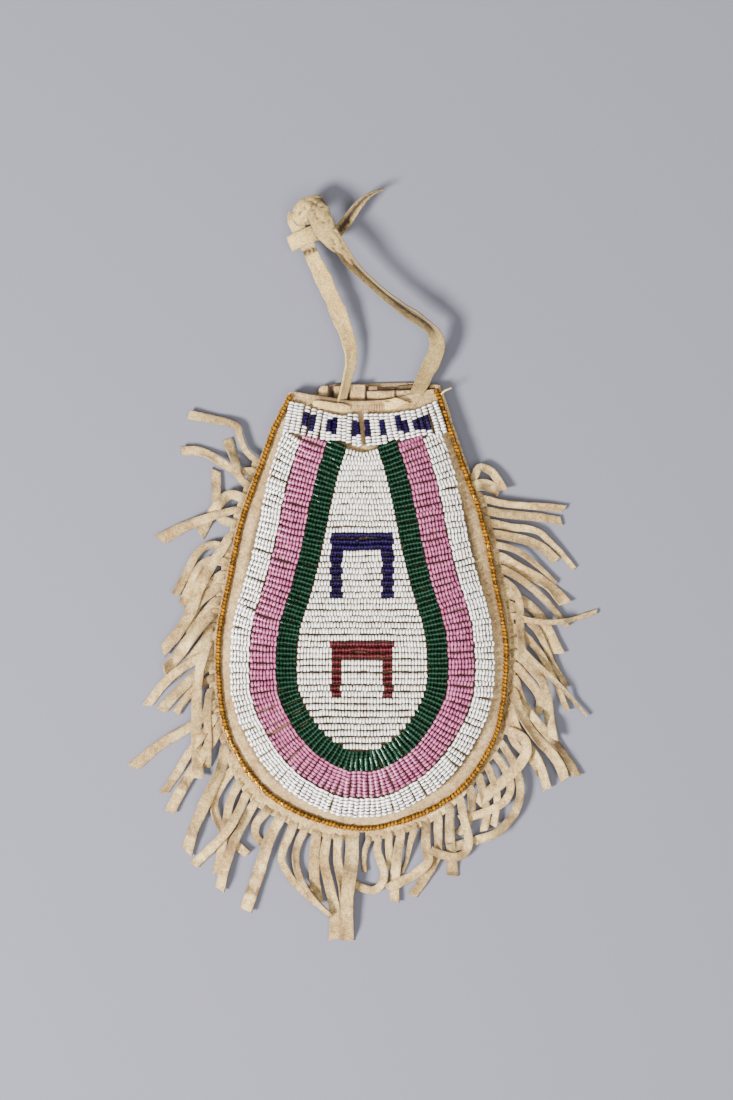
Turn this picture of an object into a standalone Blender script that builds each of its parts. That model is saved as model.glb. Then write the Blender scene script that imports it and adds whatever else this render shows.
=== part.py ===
"""Pear-shaped beaded medicine bag of tanned hide, lying on its back panel.

The mouth points to +Y, the beaded face to +Z. The origin is on the flat underside,
below the middle of the bag. Lengths are metres.
"""

import math

import bmesh
import bpy
from mathutils import Vector
from mathutils.bvhtree import BVHTree

for leftover in list(bpy.data.objects):
    bpy.data.objects.remove(leftover)

# Drawing grid: outlines and routes are given in columns and rows of small squares,
# counted across the body from seam to seam and along it from mouth to foot
BODY_WIDTH = 0.0960
BODY_LENGTH = 0.14367
COLUMN_STEP = BODY_WIDTH / 288
ROW_STEP = BODY_LENGTH / 431
CENTRE_COLUMN = 362
CENTRE_ROW = 620

# Hide
HIDE = 0.0010
FRINGE_HIDE = 0.0008
CLEARANCE = 0.0003
SWELL = 0.0048
SWELL_REACH = 0.026
EDGE_MARGIN = 0.0013
PLEAT_RISE = 0.0009

# Beadwork
BEAD = 0.0020
BEAD_RISE = 0.0018
ROW_DIP = 0.0007
EDGE_BEAD = 0.0019
WHITE_LANE = BODY_WIDTH * 11 / 160
PINK_LANE = BODY_WIDTH * 11 / 120
GREEN_LANE = BODY_WIDTH * 11 / 160
LANE_TAPER = 0.22
TAPER_LENGTH = 0.018
HEART_SLIT = 0.0015

# Fringe
WELT = 0.0022
SLIT = 0.0005
STRAND_STEP = 0.0040

# Drawstring thong
THONG = 0.0036
THONG_THICKNESS = 0.0009

TOP_OF_WELT = HIDE + CLEARANCE + FRINGE_HIDE
SEAM_TOP = TOP_OF_WELT + CLEARANCE + HIDE

# Line of the edge beads, right half, from the mouth down to the lowest point
SEAM = [(440, 398), (447, 420), (461, 460), (482, 520), (495, 580), (506, 645),
        (502, 710), (489, 750), (460, 790), (417, 816), (362, 829)]
# Line between the white lane and the pink lane, right half
LANE_LINE = [(417, 424), (433, 470), (440, 500), (448, 540), (458, 580), (470, 620),
             (474, 660), (471, 700), (453, 740), (428, 770), (393, 792), (362, 797)]
# Rims of the mouth, left to right
FRONT_RIM = [(284, 393), (310, 396), (345, 402), (364, 402), (404, 397), (440, 389)]
BACK_RIM = [(284, 394), (312, 393), (328, 384), (362, 383), (410, 382), (440, 384)]

# Bead figures on the middle field and blocks on the band below the mouth
NAVY_GATE = [(331, 533), (393, 533), (393, 595), (382, 595), (382, 548), (342, 548),
             (342, 595), (331, 595)]
RED_GATE = [(331, 641), (393, 641), (393, 699), (383, 699), (383, 657), (341, 657),
            (341, 699), (331, 699)]
BAND_TOP = [(291, 402), (309, 406), (326, 412), (342, 415), (362, 415), (386, 412),
            (415, 407), (434, 401)]
BAND_FOOT = [(284, 430), (300, 436), (322, 439), (345, 444), (362, 448), (382, 443),
             (403, 438), (425, 436), (446, 432)]
# Each block: its left and right column, then its top and foot row
BLOCKS = [(301, 314, 415, 430), (328, 336, 419, 434), (351, 358, 421, 435),
          (366, 373, 422, 436), (382, 389, 422, 435), (398, 406, 418, 432),
          (416, 430, 415, 430)]

# Fringe strands: width at the root, width at the tip, laying order, then root and route
LEFT_STRANDS = [
    (6, 10, 3, (254, 459), (242, 445), (236, 426), (212, 419), (188, 414)),
    (8, 10, 1, (250, 471), (237, 471), (224, 464), (212, 457), (199, 451), (181, 450)),
    (8, 11, 2, (246, 484), (239, 477), (234, 458), (226, 439)),
    (10, 12, 1, (241, 497), (231, 494), (220, 502), (209, 517), (199, 534)),
    (7, 13, 3, (236, 510), (226, 512), (210, 517), (183, 527), (159, 540)),
    (9, 10, 0, (232, 523), (221, 519), (216, 503), (216, 487), (215, 470)),
    (9, 13, 2, (230, 536), (222, 549), (210, 567), (198, 590), (190, 614)),
    (8, 9, 0, (227, 549), (214, 545), (200, 550), (187, 571), (174, 595)),
    (9, 11, 1, (223, 562), (212, 560), (201, 565), (191, 583), (182, 606)),
    (9, 10, 0, (221, 575), (211, 584), (200, 600), (190, 618), (184, 633)),
    (10, 12, 1, (218, 588), (206, 596), (193, 608), (180, 629), (162, 652)),
    (9, 9, 0, (216, 601), (204, 614), (192, 632), (182, 646)),
    (10, 13, 3, (212, 614), (203, 624), (192, 638), (178, 654), (164, 671)),
    (9, 9, 0, (210, 627), (203, 641), (193, 655), (181, 669), (172, 679)),
    (10, 12, 3, (209, 640), (202, 660), (197, 690), (196, 735), (198, 779)),
    (9, 10, 1, (208, 653), (195, 660), (178, 671), (160, 688), (146, 706)),
    (10, 11, 2, (209, 666), (195, 676), (177, 693), (160, 711)),
    (9, 9, 1, (210, 679), (198, 687), (185, 699), (175, 714)),
    (8, 9, 2, (210, 692), (207, 712), (208, 740), (206, 768)),
    (10, 12, 1, (212, 705), (202, 717), (187, 729), (160, 745), (132, 768)),
    (9, 9, 0, (214, 718), (204, 734), (190, 752), (176, 774), (163, 794)),
    (10, 12, 1, (217, 731), (206, 750), (193, 770), (181, 790), (169, 813)),
    (11, 14, 3, (225, 749), (219, 772), (207, 798), (196, 825), (186, 853)),
    (9, 9, 0, (232, 771), (221, 785), (213, 804), (218, 824), (232, 842), (247, 855)),
    (9, 9, 1, (239, 784), (230, 801), (226, 822), (221, 850), (216, 875)),
    (9, 10, 3, (246, 795), (240, 809), (229, 828), (211, 848), (193, 867)),
    (9, 12, 2, (254, 804), (244, 821), (233, 843), (225, 866), (220, 891)),
    (10, 8, 1, (266, 812), (257, 823), (255, 835), (262, 847)),
    (11, 14, 2, (280, 819), (271, 834), (265, 851), (257, 877), (246, 912)),
    (10, 6, 1, (293, 826), (287, 842), (281, 857), (288, 875), (301, 891), (319, 907)),
    (9, 6, 2, (304, 831), (298, 844), (295, 860), (300, 880), (314, 899), (331, 917)),
    (10, 12, 0, (316, 835), (314, 860), (315, 885), (318, 904)),
    (9, 12, 1, (327, 838), (324, 862), (330, 890), (335, 915), (334, 941)),
    (9, 11, 0, (338, 840), (338, 862), (342, 886), (345, 908)),
    (14, 14, 2, (352, 841), (351, 865), (348, 892), (347, 917), (347, 942)),
]
RIGHT_STRANDS = [
    (12, 12, 1, (476, 481), (490, 477), (500, 483), (508, 493)),
    (8, 8, 2, (485, 499), (505, 503), (538, 506), (565, 509)),
    (9, 9, 1, (488, 511), (506, 514), (538, 517), (562, 521)),
    (9, 6, 2, (491, 523), (513, 527), (536, 530), (549, 540), (562, 553), (575, 569)),
    (9, 10, 1, (494, 534), (513, 537), (534, 543), (548, 552), (557, 561)),
    (8, 4, 1, (497, 545), (513, 549), (527, 557), (542, 569), (557, 583)),
    (10, 13, 2, (500, 557), (515, 564), (530, 574), (550, 587), (566, 604)),
    (9, 6, 0, (502, 569), (518, 577), (537, 592), (553, 608), (568, 627)),
    (8, 10, 3, (504, 581), (515, 590), (520, 603), (520, 622), (522, 648), (524, 677)),
    (9, 12, 1, (508, 593), (521, 600), (534, 609), (546, 626), (560, 654)),
    (9, 6, 1, (511, 605), (524, 617), (538, 631), (548, 650), (557, 669), (568, 687)),
    (7, 5, 2, (513, 616), (528, 620), (548, 622), (572, 620), (598, 612)),
    (9, 6, 0, (515, 628), (527, 638), (540, 653), (550, 670), (560, 691), (568, 711)),
    (9, 3, 2, (516, 641), (527, 655), (545, 672), (565, 691), (588, 717)),
    (9, 11, 1, (516, 654), (530, 667), (543, 682), (548, 702), (551, 722), (554, 739)),
    (9, 9, 0, (516, 666), (528, 680), (538, 693), (541, 704), (539, 714)),
    (9, 10, 1, (515, 679), (524, 704), (540, 725), (556, 744), (568, 760), (577, 777)),
    (10, 11, 2, (513, 692), (521, 714), (534, 735), (550, 752), (560, 765), (566, 780)),
    (9, 10, 1, (511, 705), (517, 728), (529, 745), (540, 762), (548, 790)),
    (8, 8, 0, (508, 717), (513, 740), (524, 753), (535, 764), (541, 777)),
    (9, 13, 3, (505, 730), (515, 733), (526, 742), (525, 757), (510, 776), (493, 790),
     (477, 803)),
    (8, 10, 1, (501, 743), (512, 760), (520, 782), (519, 803), (509, 822), (495, 834),
     (474, 842), (450, 849)),
    (8, 9, 2, (495, 755), (506, 771), (511, 788), (506, 801), (492, 810), (476, 816),
     (460, 820)),
    (8, 8, 0, (487, 766), (495, 785), (498, 806), (494, 827)),
    (9, 9, 0, (479, 777), (484, 797), (487, 815), (485, 832)),
    (9, 9, 0, (470, 789), (472, 808), (468, 824), (459, 836)),
    (9, 9, 3, (460, 800), (465, 822), (469, 843), (462, 857), (447, 857), (431, 851)),
    (9, 12, 1, (450, 810), (450, 834), (452, 855), (453, 877)),
    (9, 10, 2, (438, 818), (439, 842), (438, 858), (425, 880), (412, 897)),
    (9, 11, 3, (426, 825), (426, 848), (428, 862), (414, 877), (401, 883), (388, 890)),
    (9, 3, 1, (414, 830), (410, 848), (407, 861), (402, 874)),
    (9, 11, 1, (401, 834), (397, 858), (395, 882), (395, 903)),
    (8, 8, 0, (389, 837), (389, 853), (390, 869)),
    (8, 9, 2, (378, 840), (378, 856), (384, 870), (382, 885), (371, 892), (353, 885)),
    (6, 6, 0, (368, 841), (364, 857), (365, 873)),
]

# Thong routes: column, row, height in millimetres, and turn of the flat in degrees
LEFT_THONG = [(342, 416, 3.8, 55), (344, 404, 4.4, 58), (347, 394, 5.0, 60),
              (351, 380, 5.3, 62), (355, 358, 5.4, 52), (352, 338, 5.8, 30),
              (343, 311, 6.3, 12), (329, 283, 6.4, 0), (317, 259, 6.2, 0),
              (309, 241, 5.7, 0), (305, 232, 5.6, 0)]
RIGHT_THONG = [(411, 408, 2.9, 0), (415, 399, 2.9, 0), (419, 391, 3.7, 0),
               (424, 382, 4.8, -8), (433, 366, 6.2, -15), (441, 348, 7.2, -25),
               (438, 331, 8.0, -50), (425, 320, 8.4, -75), (404, 309, 8.8, -68),
               (380, 292, 9.3, -64), (357, 269, 9.9, -58), (341, 249, 10.4, -20),
               (332, 237, 10.4, 0)]
KNOT_HOOD = [(331, 235, 10.4, 0), (322, 219, 10.0, 0), (309, 209, 8.6, 0),
             (298, 210, 6.2, 0), (293, 218, 4.4, 0)]
TAIL = [(322, 238, 4.6, 0), (334, 233, 4.2, 0), (346, 221, 4.8, 20), (358, 207, 5.6, 35),
        (371, 196, 6.0, 40), (384, 189, 6.2, 40)]
LEFT_LACING = [(313, 403, 0), (332, 407, 0), (350, 409, 0)]
RIGHT_LACING = [(385, 406, 0), (396, 405, 0), (407, 402, 0)]
COLLAR = (304, 238, 5.6)
COLLAR_SPAN = 0.0104
COLLAR_HEIGHT = 0.0060
COLLAR_LENGTH = 0.0052
COLLAR_TURN = math.radians(24)

model = bpy.data.collections.new("beaded_medicine_bag")
cutters = bpy.data.collections.new("cutters")
bpy.context.scene.collection.children.link(model)
bpy.context.scene.collection.children.link(cutters)


def at(column, row, height=0.0):
    """Grid square to metres."""
    return Vector(((column - CENTRE_COLUMN) * COLUMN_STEP, (CENTRE_ROW - row) * ROW_STEP, height))


def material(name, colour, roughness, transmission=0.0):
    made = bpy.data.materials.new(name)
    made.use_nodes = True
    shader = made.node_tree.nodes["Principled BSDF"]
    shader.inputs["Base Color"].default_value = (*colour, 1.0)
    shader.inputs["Roughness"].default_value = roughness
    shader.inputs["Transmission Weight"].default_value = transmission
    return made


def spline(points, step):
    """Even points along the smooth line through the given ones."""
    padded = [points[0] * 2 - points[1], *points, points[-1] * 2 - points[-2]]
    fine = []
    for a, b, c, d in zip(padded, padded[1:], padded[2:], padded[3:]):
        for k in range(12):
            t = k / 12
            fine.append(0.5 * (2 * b + (c - a) * t + (2 * a - 5 * b + 4 * c - d) * t * t
                               + (3 * b - a - 3 * c + d) * t ** 3))
    fine.append(points[-1].copy())
    return resample(fine, step)


def resample(line, step):
    length = sum((b - a).length for a, b in zip(line, line[1:]))
    count = max(2, round(length / step))
    return [along(line, length * k / count) for k in range(count + 1)]


def along(line, distance):
    for a, b in zip(line, line[1:]):
        piece = (b - a).length
        if distance <= piece:
            return a.lerp(b, distance / piece)
        distance -= piece
    return line[-1].copy()


def normals(line):
    """Unit normals to the right of the line, seen from above."""
    result = []
    for k in range(len(line)):
        way = line[min(k + 1, len(line) - 1)] - line[max(k - 1, 0)]
        result.append(Vector((way.y, -way.x, 0)).normalized())
    return result


def both_halves(right_half):
    """Line from the left end down round the foot to the right end."""
    right = [at(*p) for p in right_half]
    left = [Vector((-p.x, p.y, 0)) for p in right]
    return left + right[-2::-1]


def shifted(line, distance):
    return [p + n * distance for p, n in zip(line, normals(line))]


def height_at(line, x):
    """Y of a left-to-right line at x."""
    for a, b in zip(line, line[1:]):
        if a.x <= x <= b.x:
            return a.y + (b.y - a.y) * (x - a.x) / (b.x - a.x)
    return line[0].y if x < line[0].x else line[-1].y


def half_width(line, y):
    """Half the width of a line's left branch at y, straight on above its end."""
    branch = [p for p in line if p.x <= 0]
    if y >= branch[0].y:
        slope = (branch[1].x - branch[0].x) / (branch[1].y - branch[0].y)
        return -(branch[0].x + slope * (y - branch[0].y))
    for a, b in zip(branch, branch[1:]):
        if b.y <= y <= a.y:
            return -(a.x + (b.x - a.x) * (y - a.y) / (b.y - a.y))
    return 0.0


def place(name, mesh, look, collection=model):
    mesh.name = name
    if look:
        mesh.materials.append(look)
    made = bpy.data.objects.new(name, mesh)
    collection.objects.link(made)
    return made


def mesh_of(vertices, faces):
    made = bpy.data.meshes.new("body")
    made.from_pydata(vertices, [], faces)
    made.validate()
    return made


def thicken(body, thickness, offset):
    solid = body.modifiers.new("thickness", "SOLIDIFY")
    solid.thickness = thickness
    solid.offset = offset
    solid.use_even_offset = True
    return solid


# Seam line, hide outline and the two panels
seam = spline(both_halves(SEAM), 0.002)
hide_edge = shifted(seam, EDGE_MARGIN)
foot_y = min(p.y for p in hide_edge)


def swell_height(x, y):
    """Top of the front panel: it rises from the seam and levels out."""
    reach = min((Vector((x, y, 0)) - p).length for p in tall_edge)
    return SEAM_TOP + SWELL * (1 - (1 - min(reach / SWELL_REACH, 1)) ** 2)


def panel_grid(rim, columns, rows, height):
    rim_line = spline([at(*p) for p in rim], 0.002)
    start = foot_y + 0.0040
    foot_half = half_width(hide_edge, start)
    vertices = []
    for i in range(rows + 1):
        share = (i / rows) ** 1.15
        for j in range(columns + 1):
            u = 2 * j / columns - 1
            if i == 0:
                x = u * foot_half
                below = [p for p in hide_edge if p.y < start + 0.004]
                y = height_at(below, x)
            else:
                rim_y = height_at(rim_line, u * -rim_line[0].x)
                y = start + (rim_y - start) * share
                x = u * half_width(hide_edge, y)
            vertices.append(Vector((x, y, height(x, y))))
    wide = columns + 1
    faces = [(i * wide + j, i * wide + j + 1, (i + 1) * wide + j + 1, (i + 1) * wide + j)
             for i in range(rows) for j in range(columns)]
    return vertices, faces


reach_up = hide_edge[0] - hide_edge[1]
tall_edge = [hide_edge[0] + reach_up * k for k in (8, 6, 4, 2)] + hide_edge
tall_edge += [Vector((-p.x, p.y, 0)) for p in tall_edge[:4]][::-1]

hide = material("tanned_hide", (0.66, 0.55, 0.38), 0.92)
fringe_hide = material("fringe_hide", (0.66, 0.56, 0.40), 0.92)
thong_hide = material("thong_hide", (0.60, 0.50, 0.36), 0.9)
white_glass = material("white_glass_beads", (0.82, 0.80, 0.76), 0.25)
field_glass = material("cream_glass_beads", (0.76, 0.73, 0.66), 0.25)
pink_glass = material("pink_glass_beads", (0.60, 0.22, 0.38), 0.25)
green_glass = material("green_glass_beads", (0.012, 0.055, 0.025), 0.15)
navy_glass = material("navy_glass_beads", (0.018, 0.010, 0.085), 0.15)
red_glass = material("red_glass_beads", (0.16, 0.012, 0.015), 0.15)
amber_glass = material("amber_glass_beads", (0.50, 0.19, 0.01), 0.15)

front_vertices, front_faces = panel_grid(FRONT_RIM, 12, 14, swell_height)
surface = BVHTree.FromPolygons(front_vertices, front_faces)
front = place("front_panel", mesh_of(front_vertices, front_faces), hide)
thicken(front, HIDE, -1)


def pleats(x, y):
    """Top of the back panel: level, with shallow gathers behind the front rim."""
    drawn = min(max((y - at(0, 402).y) / 0.004, 0), 1)
    return HIDE + PLEAT_RISE * drawn * (0.5 + 0.5 * math.sin(x / 0.0031))


back_vertices, back_faces = panel_grid(BACK_RIM, 20, 10, pleats)
back = place("back_panel", mesh_of(back_vertices, back_faces), hide)
thicken(back, HIDE, -1)


def on_front(x, y):
    """Height of the front panel's upper face."""
    hit = surface.ray_cast(Vector((abs(x), y, 0.1)), Vector((0, 0, -1)))
    return hit[0].z if hit[0] else swell_height(abs(x), y)


# Beadwork: every bead row is one ridge across its lane
def ridged_strip(name, left, right, look):
    """Closed strip between two lines of stations: valley, crest, valley, ..."""
    body = bmesh.new()
    base = CLEARANCE * 1.2
    tops = []
    feet = []
    for k, (a, b) in enumerate(zip(left, right)):
        rise = base + BEAD_RISE - (ROW_DIP if k % 2 == 0 else 0)
        tops.append([body.verts.new((p.x, p.y, on_front(p.x, p.y) + rise)) for p in (a, b)])
        if k % 4 == 0 or k == len(left) - 1:
            pair = [body.verts.new((p.x, p.y, on_front(p.x, p.y) + base)) for p in (a, b)]
            feet.append((k, pair))
    for (a, b), (c, d) in zip(tops, tops[1:]):
        body.faces.new((a, b, d, c))
    for (k, (a, b)), (m, (c, d)) in zip(feet, feet[1:]):
        body.faces.new((a, c, d, b))
        half = (k + m) // 2
        for near, far, row in ((a, c, 0), (b, d, 1)):
            for n in range(k, m):
                body.faces.new((near if n < half else far, tops[n][row], tops[n + 1][row]))
            body.faces.new((near, tops[half][row], far))
    body.faces.new((feet[0][1][0], feet[0][1][1], tops[0][1], tops[0][0]))
    body.faces.new((feet[-1][1][1], feet[-1][1][0], tops[-1][0], tops[-1][1]))
    bmesh.ops.recalc_face_normals(body, faces=body.faces)
    mesh = bpy.data.meshes.new(name)
    body.to_mesh(mesh)
    body.free()
    return place(name, mesh, look)


lane_line = spline(both_halves(LANE_LINE), 0.0005)
lane_normals = normals(lane_line)
lane_length = sum((b - a).length for a, b in zip(lane_line, lane_line[1:]))


def lane_edge(offset):
    """Offset of the lane line, drawn in a little at both ends."""
    made = []
    run = 0.0
    for k, (p, n) in enumerate(zip(lane_line, lane_normals)):
        if k:
            run += (p - lane_line[k - 1]).length
        end = min(run, lane_length - run)
        share = 1 - LANE_TAPER * max(0, 1 - end / TAPER_LENGTH) if offset < 0 else 1
        made.append(p + n * offset * share)
    return made


def lane(name, outer, inner, look, trim, pitch=BEAD):
    """Bead lane between two offsets, its rows square to the lane line."""
    left = lane_edge(outer)
    right = lane_edge(inner)
    middle = [(a + b) / 2 for a, b in zip(left, right)]
    runs = [0.0]
    for a, b in zip(middle, middle[1:]):
        runs.append(runs[-1] + (b - a).length)
    rows = round((runs[-1] - 2 * trim) / pitch)
    stations = []
    k = 0
    for n in range(2 * rows + 1):
        target = trim + (runs[-1] - 2 * trim) * n / (2 * rows)
        while k < len(runs) - 2 and runs[k + 1] < target:
            k += 1
        t = min(max((target - runs[k]) / (runs[k + 1] - runs[k]), 0), 1)
        stations.append((left[k].lerp(left[k + 1], t), right[k].lerp(right[k + 1], t)))
    ridged_strip(name, [s[0] for s in stations], [s[1] for s in stations], look)


half_gap = CLEARANCE / 2
lane("white_lane", WHITE_LANE, half_gap, white_glass, 0.0066)
lane("pink_lane", -half_gap, -PINK_LANE, pink_glass, 0.0053)
lane("green_lane", -PINK_LANE - CLEARANCE, -PINK_LANE - GREEN_LANE, green_glass, 0.0038,
     BEAD * 0.93)

# Middle field: level bead rows between the two legs of the green lane
field_edge = lane_edge(-PINK_LANE - GREEN_LANE - CLEARANCE)
field_top = at(0, 450).y
field_foot = min(p.y for p in field_edge) + BEAD * 0.35
field_rows = round((field_top - field_foot) / BEAD)
field_left = []
field_right = []
for n in range(2 * field_rows + 1):
    y = field_top + (field_foot - field_top) * n / (2 * field_rows)
    half = max(half_width(field_edge, y), BEAD * 0.8)
    field_left.append(Vector((-half, y, 0)))
    field_right.append(Vector((half, y, 0)))
field = ridged_strip("middle_field", field_right, field_left, field_glass)


def prism(name, outline, grow=0.0):
    """Upright cutting block over an outline given anticlockwise from above."""
    centre = sum(outline, Vector()) / len(outline)
    body = bmesh.new()
    count = len(outline)
    moved = []
    for k in range(count):
        a = (outline[k] - outline[k - 1]).normalized()
        b = (outline[(k + 1) % count] - outline[k]).normalized()
        out = Vector((a.y + b.y, -a.x - b.x, 0))
        moved.append(outline[k] + out * grow + Vector((0, 0, centre.z)))
    low = [body.verts.new((p.x, p.y, 0.0)) for p in moved]
    high = [body.verts.new((p.x, p.y, 0.03)) for p in moved]
    body.faces.new(low[::-1])
    body.faces.new(high)
    for k in range(count):
        m = (k + 1) % count
        body.faces.new((low[k], low[m], high[m], high[k]))
    mesh = bpy.data.meshes.new(name)
    body.to_mesh(mesh)
    body.free()
    made = place(name, mesh, None, cutters)
    made.hide_render = True
    made.display_type = "WIRE"
    return made


def cut(body, cutter, operation):
    step = body.modifiers.new(cutter.name, "BOOLEAN")
    step.object = cutter
    step.operation = operation
    step.solver = "EXACT"


def inlay(name, body, points, look):
    """Cut a figure out of a bead field and fill it with beads of another colour."""
    figure_mesh = body.data.copy()
    figure_mesh.materials.clear()
    figure = place(name, figure_mesh, look)
    cut(figure, prism(name + "_cutter", points, -half_gap), "INTERSECT")
    cut(body, prism(name + "_pocket", points, half_gap), "DIFFERENCE")


def whole_rows(outline):
    """Figure on the middle field, its level sides moved to the gaps between bead rows."""
    row = (field_top - field_foot) / field_rows
    points = [at(*p) for p in outline[::-1]]
    for p in points:
        p.y = field_top - round((field_top - p.y) / row) * row
    return points


inlay("navy_gate", field, whole_rows(NAVY_GATE), navy_glass)
inlay("red_gate", field, whole_rows(RED_GATE), red_glass)

# Band below the mouth: upright bead columns in two halves beside a bare slit
band_top = spline([at(*p) for p in BAND_TOP], 0.002)
band_foot = spline([at(*p) for p in BAND_FOOT], 0.002)
for side, start, end in (("left", band_top[0].x, -HEART_SLIT / 2),
                         ("right", HEART_SLIT / 2, band_top[-1].x)):
    columns = round((end - start) / BEAD)
    spread = band_foot[0].x / band_top[0].x
    upper = []
    lower = []
    for n in range(2 * columns + 1):
        x = start + (end - start) * n / (2 * columns)
        foot_x = x + (spread - 1) * x * min(1, abs(x) / 0.02)
        upper.append(Vector((x, height_at(band_top, x), 0)))
        lower.append(Vector((foot_x, height_at(band_foot, foot_x) + 0.0003, 0)))
    band = ridged_strip("mouth_band_" + side, upper, lower, white_glass)
    for number, (a, b, top, foot) in enumerate(BLOCKS):
        if (a < CENTRE_COLUMN) == (side == "left"):
            gaps = [2 * round(columns * (at(c, 0).x - start) / (end - start)) for c in (a, b)]
            corners = []
            for gap, row in ((gaps[0], foot), (gaps[1], foot), (gaps[1], top), (gaps[0], top)):
                rise = upper[gap].y - lower[gap].y
                share = (upper[gap].y - at(0, row).y) / rise
                corners.append(upper[gap].lerp(lower[gap], share))
            inlay("navy_block_%d" % (number + 1), band, corners, navy_glass)

# Edge beads: one row laid along the seam
edge_curve = bpy.data.curves.new("edge_beads", "CURVE")
edge_curve.dimensions = "3D"
edge_curve.bevel_depth = EDGE_BEAD / 2
edge_curve.bevel_resolution = 0
edge_curve.use_fill_caps = True
edge_points = resample(seam, 0.0036)
edge_spline = edge_curve.splines.new("POLY")
edge_spline.points.add(len(edge_points) - 1)
for point, p in zip(edge_spline.points, edge_points):
    point.co = (p.x, p.y, on_front(p.x, p.y) + CLEARANCE * 1.5 + EDGE_BEAD / 2, 1)
edge_beads = bpy.data.objects.new("edge_beads", edge_curve)
edge_curve.materials.append(amber_glass)
model.objects.link(edge_beads)


# Fringe: two hide strips cut into strands, each strip one solid
def nearest(line, point):
    """Distance along a line of the place nearest to a point, and the point's distance."""
    best = None
    run = 0.0
    for a, b in zip(line, line[1:]):
        piece = b - a
        t = min(max((point - a).dot(piece) / piece.length_squared, 0), 1)
        gap = (point - a - piece * t).length
        if best is None or gap < best[1]:
            best = (run + t * piece.length, gap)
        run += piece.length
    return best


def side_of(line, distance):
    ahead = along(line, distance + 0.0005)
    behind = along(line, max(distance - 0.0005, 0))
    way = ahead - behind
    return Vector((way.y, -way.x, 0)).normalized()


def heights(route, half, laid, order):
    """Lay a strand over the ones already down: level or rising over each it crosses."""
    low = FRINGE_HIDE / 2 + 0.0001
    root = HIDE + CLEARANCE + FRINGE_HIDE / 2
    rest = low + 0.0004 * (order % 4)
    length = len(route) - 1
    levels = [root + (rest - root) * (k / length) ** 0.7 for k in range(length + 1)]
    for k in range(1, length + 1):
        for p, reach, top in laid:
            if (p - route[k]).length < reach + half[k] + 0.0004:
                levels[k] = max(levels[k], top + CLEARANCE + FRINGE_HIDE)
    levels[0] = root
    for k in range(length - 1, 0, -1):
        levels[k] = max(levels[k], levels[k + 1] - STRAND_STEP * 0.55)
    for k in range(1, length + 1):
        levels[k] = max(levels[k], levels[k - 1] - STRAND_STEP * 0.55)
    return levels


def comb(name, strands):
    """Welt band in the seam with its strands, one sheet of hide."""
    placed = []
    for strand in strands:
        points = [at(*p) for p in strand[3:]]
        distance, outward = nearest(seam, points[0])
        placed.append((distance, outward, strand, points))
    placed.sort(key=lambda entry: entry[0])
    level = HIDE + CLEARANCE + FRINGE_HIDE / 2
    vertices = []
    faces = []
    for distance, outward, strand, points in placed:
        half = (strand[0] * COLUMN_STEP - SLIT) / 2
        for end in (-half, half):
            p = along(seam, distance + end)
            n = side_of(seam, distance + end)
            vertices.append(p - n * WELT + Vector((0, 0, level)))
            vertices.append(p + n * outward + Vector((0, 0, level)))
    for k in range(0, len(vertices) - 2, 2):
        faces.append((k, k + 1, k + 3, k + 2))
    laid = []
    for number in sorted(range(len(placed)), key=lambda k: (placed[k][2][2], k)):
        strand, points = placed[number][2:]
        a = 4 * number + 1
        b = a + 2
        points[0] = (vertices[a] + vertices[b]) / 2
        points[0].z = 0
        route = spline(points, STRAND_STEP)
        last = len(route) - 1
        half = [(strand[0] + (strand[1] - strand[0]) * k / last) * COLUMN_STEP / 2 - SLIT / 2
                for k in range(last + 1)]
        levels = heights(route, half, laid, strand[2] + number)
        for k, (p, n) in enumerate(zip(route, normals(route))):
            laid.append((p, half[k], levels[k] + FRINGE_HIDE / 2))
            if k:
                middle = (p + route[k - 1]) / 2
                laid.append((middle, half[k], (levels[k] + levels[k - 1] + FRINGE_HIDE) / 2))
                c = len(vertices)
                vertices.append(p + n * half[k] + Vector((0, 0, levels[k])))
                vertices.append(p - n * half[k] + Vector((0, 0, levels[k])))
                faces.append((a, c, c + 1, b))
                a = c
                b = c + 1
    made = place(name, mesh_of(vertices, faces), fringe_hide)
    thicken(made, FRINGE_HIDE, 0)


comb("fringe_left", LEFT_STRANDS)
comb("fringe_right", RIGHT_STRANDS)


# Drawstring: flat thong, drawn as curves with a flat section
def thong(name, route, width, tip=1.0, on_hide=False):
    points = []
    for column, row, height, *turn in route:
        p = at(column, row, height * 0.001)
        if on_hide:
            p.z = on_front(p.x, p.y) + CLEARANCE + THONG_THICKNESS / 2
        points.append((p, math.radians(90 + (turn[0] if turn else 0))))
    line = spline([p for p, turn in points], THONG * 0.8)
    curve = bpy.data.curves.new(name, "CURVE")
    curve.dimensions = "3D"
    curve.twist_mode = "Z_UP"
    curve.extrude = (width - THONG_THICKNESS) / 2
    curve.bevel_depth = THONG_THICKNESS / 2
    curve.bevel_resolution = 0
    curve.use_fill_caps = True
    strip = curve.splines.new("POLY")
    strip.points.add(len(line) - 1)
    marks = [nearest(line, p)[0] for p, turn in points]
    run = 0.0
    for k, (point, p) in enumerate(zip(strip.points, line)):
        if k:
            run += (p - line[k - 1]).length
        point.co = (*p, 1)
        point.radius = 1 + (tip - 1) * k / (len(line) - 1)
        m = 0
        while m < len(marks) - 2 and marks[m + 1] < run:
            m += 1
        share = min(max((run - marks[m]) / (marks[m + 1] - marks[m]), 0), 1)
        point.tilt = points[m][1] + (points[m + 1][1] - points[m][1]) * share
    made = bpy.data.objects.new(name, curve)
    curve.materials.append(thong_hide)
    model.objects.link(made)
    return made


thong("thong_left", LEFT_THONG, THONG)
thong("thong_right", RIGHT_THONG, THONG)
thong("thong_tail", TAIL, THONG * 0.75, 0.35)
thong("knot_hood", KNOT_HOOD, THONG * 1.35)
thong("lacing_left", LEFT_LACING, THONG * 0.75, on_hide=True)
thong("lacing_right", RIGHT_LACING, THONG * 0.75, on_hide=True)

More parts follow.
